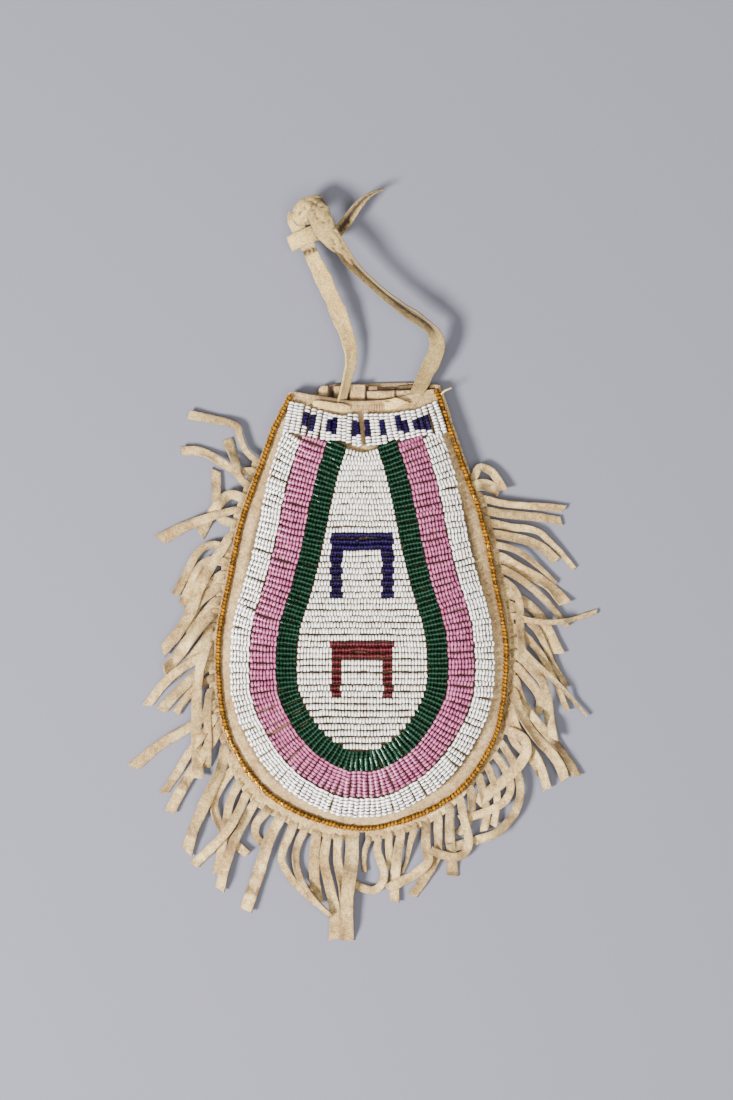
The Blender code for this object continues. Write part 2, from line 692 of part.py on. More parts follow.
# Collar of the knot: the thong wrapped once round the left strand
ring = bmesh.new()
bmesh.ops.create_circle(ring, segments=14, radius=0.5)
wall = bmesh.ops.extrude_edge_only(ring, edges=ring.edges[:])
top_ring = [v for v in wall["geom"] if isinstance(v, bmesh.types.BMVert)]
bmesh.ops.translate(ring, verts=top_ring, vec=(0, 0, 1))
bmesh.ops.scale(ring, verts=ring.verts, vec=(COLLAR_SPAN, COLLAR_HEIGHT, COLLAR_LENGTH))
bmesh.ops.translate(ring, verts=ring.verts, vec=(0, 0, -COLLAR_LENGTH / 2))
bmesh.ops.recalc_face_normals(ring, faces=ring.faces)
ring_mesh = bpy.data.meshes.new("knot_collar")
ring.to_mesh(ring_mesh)
ring.free()
collar = place("knot_collar", ring_mesh, thong_hide)
collar.location = at(COLLAR[0], COLLAR[1], COLLAR[2] * 0.001)
collar.rotation_euler = (math.radians(90), 0, COLLAR_TURN)
thicken(collar, THONG_THICKNESS, -1)
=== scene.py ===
# %% [markdown]
# # A beaded medicine bag
# This lesson dresses a small drawstring pouch. The solid model gives every piece its
# place, and each cell here adds what a maker would see: hide with a nap, rows of glass
# beads, cut fringe and a knotted thong. All lengths are metres, except where a table says
# millimetres.

# %% Load the solid model
import bisect
import math
import random

import bmesh
import bpy
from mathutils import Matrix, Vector, noise


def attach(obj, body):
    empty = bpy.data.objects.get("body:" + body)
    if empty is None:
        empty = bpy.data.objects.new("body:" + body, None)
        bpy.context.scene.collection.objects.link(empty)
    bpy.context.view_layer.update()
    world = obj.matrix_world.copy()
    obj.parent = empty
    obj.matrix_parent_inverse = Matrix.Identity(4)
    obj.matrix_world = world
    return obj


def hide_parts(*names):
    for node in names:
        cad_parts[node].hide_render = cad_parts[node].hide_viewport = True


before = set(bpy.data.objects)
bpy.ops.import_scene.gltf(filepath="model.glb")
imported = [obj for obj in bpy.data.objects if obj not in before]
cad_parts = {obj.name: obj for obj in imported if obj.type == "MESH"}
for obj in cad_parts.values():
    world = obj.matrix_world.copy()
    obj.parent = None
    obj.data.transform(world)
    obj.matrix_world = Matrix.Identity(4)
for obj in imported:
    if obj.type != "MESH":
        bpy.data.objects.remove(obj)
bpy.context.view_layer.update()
print("solid nodes:", len(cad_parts))

# %% [markdown]
# ## A drawing grid and smooth lines
# A maker would draw the bag on squared paper. Every outline below is a short list of
# columns and rows on such a sheet, a third of a millimetre to the square, and a smooth
# line is drawn through it. This keeps the numbers few and easy to change by hand.

# %% Drawing grid and lines
BODY_WIDTH = 0.096
BODY_SQUARES = 288
SQUARE = BODY_WIDTH / BODY_SQUARES
CENTRE_COLUMN = 362
CENTRE_ROW = 620
SPLINE_STEPS = 12


def at(column, row, height=0.0):
    """Grid square to metres."""
    return Vector(((column - CENTRE_COLUMN) * SQUARE, (CENTRE_ROW - row) * SQUARE, height))


def along(line, distance):
    """Point at a distance along a line."""
    for a, b in zip(line, line[1:]):
        piece = (b - a).length
        if distance <= piece and piece > 0:
            return a.lerp(b, distance / piece)
        distance -= piece
    return line[-1].copy()


def length_of(line):
    return sum((b - a).length for a, b in zip(line, line[1:]))


# %% Smooth lines
def resample(line, step):
    """Even points on a line. Walks along it once, so long lines stay quick."""
    total = length_of(line)
    count = max(2, round(total / step))
    made = [line[0].copy()]
    run = 0.0
    k = 0
    for n in range(1, count):
        target = total * n / count
        while run + (line[k + 1] - line[k]).length < target:
            run += (line[k + 1] - line[k]).length
            k += 1
        made.append(line[k].lerp(line[k + 1], (target - run) / (line[k + 1] - line[k]).length))
    made.append(line[-1].copy())
    return made


def spline(points, step):
    """Even points along the smooth line through the given ones."""
    padded = [points[0] * 2 - points[1], *points, points[-1] * 2 - points[-2]]
    fine = []
    for a, b, c, d in zip(padded, padded[1:], padded[2:], padded[3:]):
        for k in range(SPLINE_STEPS):
            t = k / SPLINE_STEPS
            fine.append(0.5 * (2 * b + (c - a) * t + (2 * a - 5 * b + 4 * c - d) * t * t
                               + (3 * b - a - 3 * c + d) * t ** 3))
    fine.append(points[-1].copy())
    return resample(fine, step)


def tangent(line, k):
    return (line[min(k + 1, len(line) - 1)] - line[max(k - 1, 0)]).normalized()


def right_of(way):
    """Unit vector to the right of a direction, seen from above."""
    return Vector((way.y, -way.x, 0)).normalized()


def shifted(line, distance):
    """The line moved to its right by a distance."""
    return [p + right_of(tangent(line, k)) * distance for k, p in enumerate(line)]


# %% Outlines that are the same on both sides
def both_halves(right_half):
    """Line from the left end down round the foot to the right end."""
    right = [at(*p) for p in right_half]
    left = [Vector((-p.x, p.y, 0)) for p in right]
    return left + right[-2::-1]


def height_at(line, x):
    """Y of a left-to-right line at x."""
    for a, b in zip(line, line[1:]):
        if a.x <= x <= b.x:
            return a.y + (b.y - a.y) * (x - a.x) / (b.x - a.x)
    return line[0].y if x < line[0].x else line[-1].y


def half_width(line, y):
    """Half the width of a line's left branch at y, straight on above its end."""
    branch = [p for p in line if p.x <= 0]
    if y >= branch[0].y:
        slope = (branch[1].x - branch[0].x) / (branch[1].y - branch[0].y)
        return -(branch[0].x + slope * (y - branch[0].y))
    for a, b in zip(branch, branch[1:]):
        if b.y <= y <= a.y:
            return -(a.x + (b.x - a.x) * (y - a.y) / (b.y - a.y))
    return 0.0


def wander(p, scale, seed):
    """Smooth noise from -1 to 1 over a point."""
    return noise.noise(Vector((p.x * scale + seed, p.y * scale, p.z * scale + seed * 0.37)))


SEAM = [(440, 398), (447, 420), (461, 460), (482, 520), (495, 580), (506, 645),
        (502, 710), (489, 750), (460, 790), (417, 816), (362, 829)]
SEAM_STEP = 0.002
EDGE_MARGIN = 0.0013
seam = spline(both_halves(SEAM), SEAM_STEP)
hide_edge = shifted(seam, EDGE_MARGIN)
print("seam length, mm:", round(length_of(seam) * 1000, 1))

# %% [markdown]
# ## The camera
# The bag is photographed from straight above, so the camera looks down the Z axis. It
# stands more than a metre away, with a long lens, as on a copy stand, which keeps the
# sides of the pouch from leaning. The lens is worked out from the width of the view.

# %% Camera
CAMERA_HEIGHT = 1.1
VIEW_CENTRE = (366.5, 550)
VIEW_ROWS = 1100
BEAD_PLANE = 0.006
FILM = 36
optics = bpy.data.cameras.new("copy_stand")
optics.sensor_width = FILM
optics.lens = FILM * (CAMERA_HEIGHT - BEAD_PLANE) / (VIEW_ROWS * SQUARE)
camera = bpy.data.objects.new("copy_stand", optics)
camera.location = at(*VIEW_CENTRE, CAMERA_HEIGHT)
bpy.context.scene.collection.objects.link(camera)
bpy.context.scene.camera = camera
print("lens, mm:", round(optics.lens, 1))

# %% [markdown]
# ## Finishes
# Hide, suede thong and glass are each one node material. Colour comes from noise on object
# coordinates and from attributes that the pieces carry. `shade` is a random value for each bead or
# fringe strand; on the other pieces of hide it is set piece by piece and place by place, mostly as
# painted light and shade. A second attribute marks where handling and glue have darkened the hide,
# and it also carries painted shade in creases, folds and hollows. Values that are the same
# everywhere sit on the shader's own sockets.


# %% Node helpers
def new_finish(name):
    made = bpy.data.materials.new(name)
    made.use_nodes = True
    nodes = made.node_tree.nodes
    shader = nodes["Principled BSDF"]
    return made, nodes, made.node_tree.links, shader


def feed(links, socket, value):
    """Link a socket to another one, or set its own value."""
    if isinstance(value, bpy.types.NodeSocket):
        links.new(value, socket)
    else:
        socket.default_value = value


def noise_node(nodes, links, coordinates, scale, detail, roughness=0.6):
    made = nodes.new("ShaderNodeTexNoise")
    made.inputs["Scale"].default_value = scale
    made.inputs["Detail"].default_value = detail
    made.inputs["Roughness"].default_value = roughness
    links.new(coordinates, made.inputs["Vector"])
    return made.outputs["Fac"]


def ramp_node(nodes, links, source, stops):
    """Colour ramp from a list of (place, colour)."""
    made = nodes.new("ShaderNodeValToRGB")
    elements = made.color_ramp.elements
    while len(elements) < len(stops):
        elements.new(0.5)
    for element, (place, colour) in zip(elements, stops):
        element.position = place
        element.color = (*colour, 1)
    links.new(source, made.inputs["Fac"])
    return made.outputs["Color"]


def mix_node(nodes, links, share, low, high, mode="MIX"):
    """Mix of two colours. The colour sockets of this node are its sixth and seventh."""
    made = nodes.new("ShaderNodeMix")
    made.data_type = "RGBA"
    made.blend_type = mode
    for place, value in ((0, share), (6, low), (7, high)):
        feed(links, made.inputs[place], (*value, 1) if isinstance(value, tuple) else value)
    return made.outputs[2]


def math_node(nodes, links, operation, *values):
    made = nodes.new("ShaderNodeMath")
    made.operation = operation
    for socket, value in zip(made.inputs, values):
        feed(links, socket, value)
    return made.outputs[0]


def attribute_node(nodes, name):
    made = nodes.new("ShaderNodeAttribute")
    made.attribute_name = name
    return made.outputs["Fac"]


def bump_node(nodes, links, shader, height, strength, distance):
    made = nodes.new("ShaderNodeBump")
    made.inputs["Strength"].default_value = strength
    made.inputs["Distance"].default_value = distance
    links.new(height, made.inputs["Height"])
    links.new(made.outputs["Normal"], shader.inputs["Normal"])


# %% [markdown]
# ### Tanned hide
# Brain-tanned hide is matt, cream to tan, with cloudy patches, fine pores and darker brown where
# it has been handled. Three noises at different scales give the clouds, the grain and the pores.
# An attribute pulls the colour towards brown, for real stains and for painted shade in creases,
# folds and hollows, and `shade` makes it lighter or darker, which on the front panel, the hems and
# the thongs is painted light and shade. One recipe serves the pouch, the fringe and the thong,
# with their own tones and size of clouds.


# %% Hide finish
CLOUD_SCALE = 55
GRAIN_SCALE = 620
PORE_SCALE = 2300
NAP = 0.0005


def hide_finish(name, pale, middle, brown, finer=1.0, grainy=0.8):
    """Matt hide. Finer makes its clouds smaller, grainy is how strong the grain shows."""
    made, nodes, links, shader = new_finish(name)
    place = nodes.new("ShaderNodeTexCoord").outputs["Object"]
    clouds = noise_node(nodes, links, place, CLOUD_SCALE * finer, 4)
    grain = noise_node(nodes, links, place, GRAIN_SCALE, 5, 0.7)
    pores = noise_node(nodes, links, place, PORE_SCALE, 3, 0.7)
    colour = ramp_node(nodes, links, clouds, [(0.40, middle), (0.60, pale)])
    speckle = ramp_node(nodes, links, grain, [(0.36, (0.58, 0.46, 0.32)), (0.56, (1, 1, 1))])
    colour = mix_node(nodes, links, grainy, colour, speckle, "MULTIPLY")
    fleck = ramp_node(nodes, links, pores, [(0.40, (0.50, 0.41, 0.30)),
                                            (0.54, (1.08, 1.08, 1.08))])
    colour = mix_node(nodes, links, 0.80, colour, fleck, "MULTIPLY")
    # Brown stains, and painted shade in creases, folds and hollows, come from one attribute.
    stain_and_painted_shade = math_node(nodes, links, "MULTIPLY", attribute_node(nodes, "stain_and_painted_shade"),
                      math_node(nodes, links, "MULTIPLY_ADD", clouds, 1.2, 0.2))
    stain_and_painted_shade = math_node(nodes, links, "MINIMUM", stain_and_painted_shade, 1.0)
    colour = mix_node(nodes, links, stain_and_painted_shade, colour, brown)
    # Lighter or darker from the shade attribute: painted light and shade on the front panel, hems
    # and thongs, random tone on the fringe strands.
    shade = math_node(nodes, links, "MULTIPLY_ADD", attribute_node(nodes, "shade"), 0.34, 0.83)
    lit = nodes.new("ShaderNodeHueSaturation")
    links.new(shade, lit.inputs["Value"])
    links.new(colour, lit.inputs["Color"])
    links.new(lit.outputs["Color"], shader.inputs["Base Color"])
    shader.inputs["Roughness"].default_value = 0.93
    shader.inputs["Sheen Weight"].default_value = 0.12
    shader.inputs["Specular IOR Level"].default_value = 0.25
    height = math_node(nodes, links, "ADD", grain, math_node(nodes, links, "MULTIPLY", pores, 0.6))
    bump_node(nodes, links, shader, height, 0.8, NAP)
    return made


hide = hide_finish("tanned_hide", (0.46, 0.335, 0.170), (0.34, 0.230, 0.105),
                   (0.120, 0.060, 0.022))
fringe_hide = hide_finish("fringe_hide", (0.54, 0.405, 0.192), (0.35, 0.240, 0.102),
                          (0.110, 0.060, 0.024), 1.6)
thong_hide = hide_finish("thong_hide", (0.60, 0.445, 0.178), (0.46, 0.315, 0.122),
                         (0.050, 0.028, 0.013), 1.4, 0.35)
print("hide finishes:", hide.name, fringe_hide.name, thong_hide.name)

# %% [markdown]
# ### Glass beads
# Old seed beads differ a little in colour from one to the next, because they were made in batches.
# The `shade` attribute, one random value for each bead, picks a tone between neighbours. `groove`
# darkens the ends towards a dark colour: painted shade in the gaps between beads and round the
# holes, with some old grime there too. A low roughness gives the small window highlights. Their
# tint keeps dark glass from looking grey.


# %% Glass finish
DUST_SCALE = 900
RIPPLE_SCALE = 1500
RIPPLE = 0.0001


def glass_finish(name, tones, end_shade_and_grime, roughness, gloss=0.5, tint=(1, 1, 1)):
    """Opaque bead glass from a list of tones. Gloss and tint belong to its highlights."""
    made, nodes, links, shader = new_finish(name)
    shade = attribute_node(nodes, "shade")
    place = nodes.new("ShaderNodeTexCoord").outputs["Object"]
    colour = ramp_node(nodes, links, shade, [(k / (len(tones) - 1), tone)
                                             for k, tone in enumerate(tones)])
    dust = noise_node(nodes, links, place, DUST_SCALE, 3)
    film = ramp_node(nodes, links, dust, [(0.42, (0.82, 0.78, 0.72)), (0.58, (1, 1, 1))])
    colour = mix_node(nodes, links, 0.5, colour, film, "MULTIPLY")
    # Painted shade in the gaps between beads, with some old grime: the ends are mixed towards a
    # dark colour.
    groove = ramp_node(nodes, links, attribute_node(nodes, "groove"),
                       [(0.05, (0, 0, 0)), (0.70, (1, 1, 1))])
    colour = mix_node(nodes, links, groove, colour, end_shade_and_grime)
    links.new(colour, shader.inputs["Base Color"])
    shader.inputs["Roughness"].default_value = roughness
    shader.inputs["Specular IOR Level"].default_value = gloss
    shader.inputs["Specular Tint"].default_value = (*tint, 1)
    ripples = noise_node(nodes, links, place, RIPPLE_SCALE, 2)
    bump_node(nodes, links, shader, ripples, 0.15, RIPPLE)
    return made


white_glass = glass_finish("white_glass_beads", [(0.80, 0.76, 0.69), (0.95, 0.94, 0.91),
                                                 (0.90, 0.88, 0.84)], (0.07, 0.05, 0.032), 0.20)
cream_glass = glass_finish("cream_glass_beads", [(0.76, 0.70, 0.60), (0.93, 0.90, 0.84),
                                                 (0.87, 0.84, 0.77)], (0.07, 0.05, 0.032), 0.22)
pink_glass = glass_finish("pink_glass_beads", [(0.27, 0.058, 0.125), (0.43, 0.130, 0.240),
                                               (0.35, 0.090, 0.180)], (0.035, 0.004, 0.011),
                          0.28, 0.33, (1.0, 0.82, 0.90))
green_glass = glass_finish("green_glass_beads", [(0.001, 0.009, 0.003), (0.003, 0.020, 0.009),
                                                 (0.002, 0.014, 0.006)], (0.001, 0.002, 0.001),
                           0.21, 0.28, (0.60, 1.0, 0.75))
navy_glass = glass_finish("navy_glass_beads", [(0.004, 0.002, 0.018), (0.010, 0.004, 0.038),
                                               (0.007, 0.003, 0.028)], (0.001, 0.001, 0.003),
                          0.22, 0.16, (0.72, 0.60, 1.0))
red_glass = glass_finish("red_glass_beads", [(0.036, 0.003, 0.005), (0.086, 0.010, 0.014),
                                             (0.056, 0.006, 0.009)], (0.006, 0.001, 0.001),
                         0.24, 0.35, (1.0, 0.60, 0.55))
amber_glass = glass_finish("amber_glass_beads", [(0.050, 0.012, 0.001), (0.27, 0.100, 0.001),
                                                 (0.13, 0.040, 0.001)], (0.006, 0.002, 0.001),
                           0.17, 0.6, (1.0, 0.66, 0.14))
print("glass finishes: 7")

# %% [markdown]
# ## Straps cut from hide
# A thong or a fringe strand is a narrow strip with soft rounded edges. Each one is built
# as rings of points along its route: a ring has a flat top and bottom and a little wave
# in its width, as scissors leave it. A finer ring has more points across its top, for
# strips that are folded or creased. The UV map holds the place across the strip and the
# distance along it, and two attributes hold how light and how brown each point is.


# %% Rings of a strap
RING = [(1.0, 0.0), (0.985, 0.80), (0.90, 1.0), (0.45, 1.0), (0.0, 1.0), (-0.45, 1.0),
        (-0.90, 1.0), (-0.985, 0.80), (-1.0, 0.0), (-0.96, -0.95), (0.0, -1.0), (0.96, -0.95)]
FINE_RING = ([(1.0, 0.0), (0.985, 0.80)] + [(0.92 - 0.115 * k, 1.0) for k in range(17)]
             + [(-0.985, 0.80), (-1.0, 0.0), (-0.96, -0.95), (-0.4, -1.0), (0.4, -1.0),
                (0.96, -0.95)])
TABLE_GAP = 0.00008
WAVE_SCALE = 260
SWELL_SCALE = 330
PATCH_SCALE = 1100
print("points in a ring:", len(RING), "and", len(FINE_RING))


# %% Shared steps
def put(name, body, finish):
    """Mesh object in the scene from a finished bmesh, smooth shaded."""
    mesh = bpy.data.meshes.new(name)
    body.to_mesh(mesh)
    body.free()
    mesh.materials.append(finish)
    mesh.shade_smooth()
    mesh.set_sharp_from_angle(angle=math.radians(42))
    made = bpy.data.objects.new(name, mesh)
    bpy.context.scene.collection.objects.link(made)
    return made


def settle(piece, slot, *nodes):
    """Ride on the bag and take the place of solid nodes. The slot is not used."""
    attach(piece, "root")
    if nodes:
        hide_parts(*nodes)


def slot_of(finish):
    """Slot that a finish is for. Blender numbers a name that the solids' finish has."""
    return finish.name.split(".")[0]


def own_node(name):
    """The solid node of that name, if the model has one."""
    return [name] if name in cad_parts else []


def strap_body():
    """Empty body with the layers that every piece of hide carries."""
    body = bmesh.new()
    layers = (body.loops.layers.uv.new("strip"), body.verts.layers.float.new("shade"),
              body.verts.layers.float.new("stain_and_painted_shade"))
    return body, layers


# %% One strap
def add_strap(body, layers, route, half_widths, half_thickness, turns, shade, stain_and_painted_shade,
              cup=0.0, slant=0.0, seed=0.0, folds=None, wave=0.05, crumple=0.0, ring_of=RING):
    """One strap along a route. Turns roll it about its own length, in radians, folds close its
    edges upwards into a gutter, and crumple is how deep it is creased. The gutter and the hollows
    of the creases get painted shade."""
    uv, shade_layer, stain_and_shade_layer = layers
    rings = []
    run = 0.0
    last = len(route) - 1
    sharp = 0.25 if folds else 0.5
    for k, p in enumerate(route):
        way = tangent(route, k)
        side = right_of(way)
        lift = side.cross(way)
        turn = turns[k]
        across = side * math.cos(turn) - lift * math.sin(turn)
        up = side * math.sin(turn) + lift * math.cos(turn)
        if k:
            run += (p - route[k - 1]).length
        half = half_widths[k]
        fold = folds[k] if folds else 0.0
        ring = []
        for a, b in ring_of:
            trim = 1 + wave * noise.noise(Vector((run * WAVE_SCALE, a * 2.0, seed)))
            swell = 0.22 * noise.noise(Vector((run * SWELL_SCALE, a * 1.7 + b, seed + 9)))
            offset = across * a * half * trim + up * b * half_thickness * (1 + swell)
            offset += up * half * (cup * (a * a - 0.4) + fold * (1.25 * abs(a) - 0.6))
            crease = 0.0
            if crumple:
                spot = p + across * a * half
                crease = abs(wander(spot, 300, seed)) * 2 - 0.5 + 0.5 * wander(spot, 900, seed)
            offset += up * crumple * crease * min(1.0, b + 1.2)
            if slant and k > last - 3:
                offset += way * slant * half * a * (1 - (last - k) / 3)
            ring.append(body.verts.new(p + offset))
            ring[-1][shade_layer] = shade
            # Darker towards the edges, and painted shade down the gutter of a fold and in the
            # hollows of the crumple.
            edge = abs(a) ** 4 * sharp
            gutter = 1.5 * fold * (1 - abs(a)) ** 3 if b > 0.5 else 0.0
            hollow = max(0.0, -crease - 0.36) * 3.5
            spread = 1 - 0.8 * min(fold, 1.0) * a * a
            patchy = 1 + 0.8 * noise.noise(Vector((run * PATCH_SCALE, a * 3, seed + 5)))
            ring[-1][stain_and_shade_layer] = min(1.3, stain_and_painted_shade[k] * spread * patchy + edge + gutter + hollow)
        lowest = min(vertex.co.z for vertex in ring)
        for vertex in ring:
            vertex.co.z += max(0.0, TABLE_GAP - lowest)
        rings.append((ring, run))
    count = len(ring_of)
    for (low, v0), (high, v1) in zip(rings, rings[1:]):
        for n in range(count):
            m = (n + 1) % count
            face = body.faces.new((low[n], low[m], high[m], high[n]))
            for loop, (j, v) in zip(face.loops, ((n, v0), (m, v0), (m, v1), (n, v1))):
                loop[uv].uv = (0.5 + ring_of[j][0] / 2, v * 100)
    body.faces.new(rings[0][0][::-1])
    body.faces.new(rings[-1][0])


def finish_strap(name, body, finish):
    bmesh.ops.recalc_face_normals(body, faces=body.faces)
    return put(name, body, finish)


# %% [markdown]
# ## The drawstring
# The thong leaves the mouth twice, climbs off the table in two stiff arcs and meets in a knot.
# Each point of a route holds a grid column, a grid row, a height in millimetres and the turn of
# the flat side in degrees. The right strand is folded lengthwise near the knot, and painted shade
# down its middle shows the crease. Widths, stains and folds are read from short lists along the
# length, so each can be changed without the others. Part of the stains is painted shade, and each
# strand is painted lighter or darker with its shade value, as it faces the light or turns away.

# %% Drawstring
THONG_THICKNESS = 0.0009
THONG_STEP = 0.0005
LEFT_THONG = [(339, 416, 3.8, 40), (340.5, 404, 4.6, 44), (343.5, 394, 6.0, 46),
              (347, 380, 6.0, 44), (351, 358, 5.4, 34), (347.5, 338, 5.8, 20),
              (337.5, 311, 6.3, 8), (325, 283, 6.4, 0), (313.5, 259, 6.2, 0),
              (306.5, 241, 5.7, 0), (303, 232, 5.6, 0)]
RIGHT_THONG = [(411, 408, 3.2, 0), (414, 399, 4.2, 0), (418, 391, 5.4, 0),
               (422, 382, 5.6, -8), (430, 366, 6.2, -15), (437, 349, 7.2, -25),
               (434.5, 333, 8.0, -50), (422, 320.5, 8.4, -75), (404.5, 309, 8.8, -68),
               (382.5, 292.5, 9.3, -64), (357, 269, 9.9, -58), (341.5, 250, 10.4, -20),
               (333, 238, 10.4, 0)]
TAIL = [(331, 237, 4.6, 0), (338, 231, 4.2, 0), (346, 221, 4.8, 20), (357, 206, 5.6, 35),
        (369, 195, 6.0, 40), (384, 189, 6.2, 40)]


# %% Thong builder
def strap_path(stations):
    """Smooth route with the turn at every point of it."""
    corners = [at(column, row, height * 0.001) for column, row, height, turn in stations]
    route = spline(corners, THONG_STEP)
    marks = []
    run = 0.0
    for a, b in zip(corners, corners[1:]):
        marks.append(run)
        run += (b - a).length
    marks.append(run)
    scale = run / length_of(route)
    turns = []
    distance = 0.0
    for k, p in enumerate(route):
        if k:
            distance += (p - route[k - 1]).length * scale
        m = 0
        while m < len(marks) - 2 and marks[m + 1] < distance:
            m += 1
        share = min(max((distance - marks[m]) / (marks[m + 1] - marks[m]), 0), 1)
        share = share * share * (3 - 2 * share)
        turns.append(math.radians(stations[m][3] + (stations[m + 1][3] - stations[m][3]) * share))
    return route, turns


def reading(marks, t):
    """Value at t on a list of (t, value)."""
    for (low, a), (high, b) in zip(marks, marks[1:]):
        if t <= high:
            return a + (b - a) * (t - low) / (high - low)
    return marks[-1][1]


def thong(name, stations, widths, stains_and_shade, folds=((0, 0), (1, 0)), cup=0.0, seed=1.0,
          shade=0.5, wave=0.10, turned=1.0, crumple=0.0):
    """Widths, stains and folds are lists of (share of the length, value)."""
    route, turns = strap_path(stations)
    last = len(route) - 1
    shares = [k / last for k in range(last + 1)]
    body, layers = strap_body()
    add_strap(body, layers, route, [reading(widths, t) / 2 for t in shares],
              THONG_THICKNESS / 2, [turn * turned for turn in turns], shade,
              [reading(stains_and_shade, t) for t in shares], cup=cup, seed=seed,
              folds=[reading(folds, t) for t in shares], wave=wave, crumple=crumple,
              ring_of=FINE_RING)
    made = finish_strap(name + "_hide", body, thong_hide)
    settle(made, "thong_hide", *own_node(name))
    print(name, "length, mm:", round(length_of(route) * 1000, 1))
    return made, route


# %% Two strands and the tail
LEFT_WIDTHS = [(0, 0.0040), (0.12, 0.0034), (0.3, 0.0044), (0.42, 0.0050), (0.56, 0.0056),
               (0.66, 0.0051), (0.74, 0.0056), (0.86, 0.0046), (1, 0.0048)]
RIGHT_WIDTHS = [(0, 0.0042), (0.10, 0.0046), (0.22, 0.0056), (0.34, 0.0052), (0.40, 0.0036),
                (0.50, 0.0042), (0.62, 0.0032), (0.78, 0.0031), (0.88, 0.0042), (1, 0.0048)]
TAIL_WIDTHS = [(0, 0.0040), (0.3, 0.0038), (0.62, 0.0028), (0.8, 0.0014), (1, 0.0003)]
LEFT_STAIN = [(0, 0.3), (0.25, 0.0), (0.872, 0.0), (0.886, 0.9), (0.902, 1.3), (0.912, 0.2),
              (1, 0)]
# Between about 0.4 and 0.6 of the right strand's length the stain is painted shade, on the
# shadowed inside of its fold.
RIGHT_STAIN_AND_SHADE = [(0, 0.1), (0.36, 0.1), (0.42, 0.5), (0.58, 0.5), (0.64, 0.1), (0.84, 0.15),
               (0.94, 0.45), (1, 0.2)]
RIGHT_FOLD = [(0, 0), (0.34, 0.05), (0.40, 0.9), (0.88, 1.0), (0.95, 0.35), (1, 0.1)]
# The shade values are painted light and shade on one hide: the left strand is painted lighter, and
# the right strand, turned away from the light, darker.
left_thong, left_route = thong("thong_left", LEFT_THONG, LEFT_WIDTHS, LEFT_STAIN, seed=2.0,
                               cup=0.05, shade=0.7, wave=0.16)
right_thong, right_route = thong("thong_right", RIGHT_THONG, RIGHT_WIDTHS, RIGHT_STAIN_AND_SHADE,
                                 RIGHT_FOLD, seed=5.0, cup=0.06, shade=-0.9, turned=0.35)
tail = thong("thong_tail", TAIL, TAIL_WIDTHS, [(0, 0.75), (0.6, 0.6), (1, 0.8)],
             [(0, 0.6), (0.5, 0.8), (1, 0.3)], seed=7.0, turned=0.5, shade=0.3)[0]

# %% [markdown]
# ### The hood of the knot
# Above the collar the thong is doubled over itself and has crumpled. Two short straps overlap
# there, and their crumple folds the surface and paints shade into the hollows. A third short strap
# is the end that sticks out behind the collar.

# %% Knot hood
KNOT_HOOD = [(354, 265, 9.8, 0), (343, 252, 10.4, 0), (332, 240, 10.9, 0), (323, 226, 11.0, 0),
             (318, 212, 10.4, 0), (314, 202, 8.8, 0)]
HOOD_WIDTHS = [(0, 0.0016), (0.2, 0.0040), (0.42, 0.0062), (0.6, 0.0074), (0.85, 0.0078),
               (1, 0.0052)]
KNOT_FOLD = [(323, 202, 7.6, 0), (314, 203, 9.0, 0), (305, 209, 9.6, 0), (302, 217, 8.8, 0),
             (303, 225, 6.6, 0)]
FOLD_WIDTHS = [(0, 0.0036), (0.25, 0.0050), (0.55, 0.0066), (0.8, 0.0064), (1, 0.0048)]
KNOT_END = [(303, 236, 5.4, 0), (297, 226, 5.0, 0), (293.5, 218, 4.4, 10), (293, 212, 3.8, 20)]
END_WIDTHS = [(0, 0.0050), (0.7, 0.0046), (1, 0.0034)]
# The hood darkens at its top end and the fold at its start, where the thong folds over: painted
# shade in that crease.
hood = thong("knot_hood", KNOT_HOOD, HOOD_WIDTHS,
             [(0, 0.55), (0.2, 0.3), (0.4, 0.05), (0.84, 0.05), (0.93, 0.8), (1, 1)],
             seed=8.0, cup=-0.22, shade=-0.3, crumple=0.00048)[0]
knot_fold = thong("knot_fold", KNOT_FOLD, FOLD_WIDTHS,
                  [(0, 0.9), (0.2, 0.5), (0.4, 0.0), (0.85, 0.1), (1, 0.7)],
                  seed=8.6, cup=-0.30, shade=0.25, wave=0.12, crumple=0.00060)[0]
knot_end = thong("knot_end", KNOT_END, END_WIDTHS, [(0, 0.6), (0.4, 0.0), (1, 0.3)],
                 seed=9.0, cup=-0.1, shade=0.8)[0]

# %% [markdown]
# ### The collar of the knot
# The right strand is wrapped once round the left one. The wrap is a short bent band: an
# oval loop swept with the same strap builder would twist, so it is made as a ring of
# stations about the collar's own axis.

# %% Knot collar
COLLAR_COLUMN, COLLAR_ROW, COLLAR_MIDDLE = 304, 238, 0.0056
COLLAR_STEPS = 48
COLLAR_SPAN = 0.0104
COLLAR_HEIGHT = 0.0060
COLLAR_LENGTH = 0.0052
COLLAR_TURN = math.radians(24)


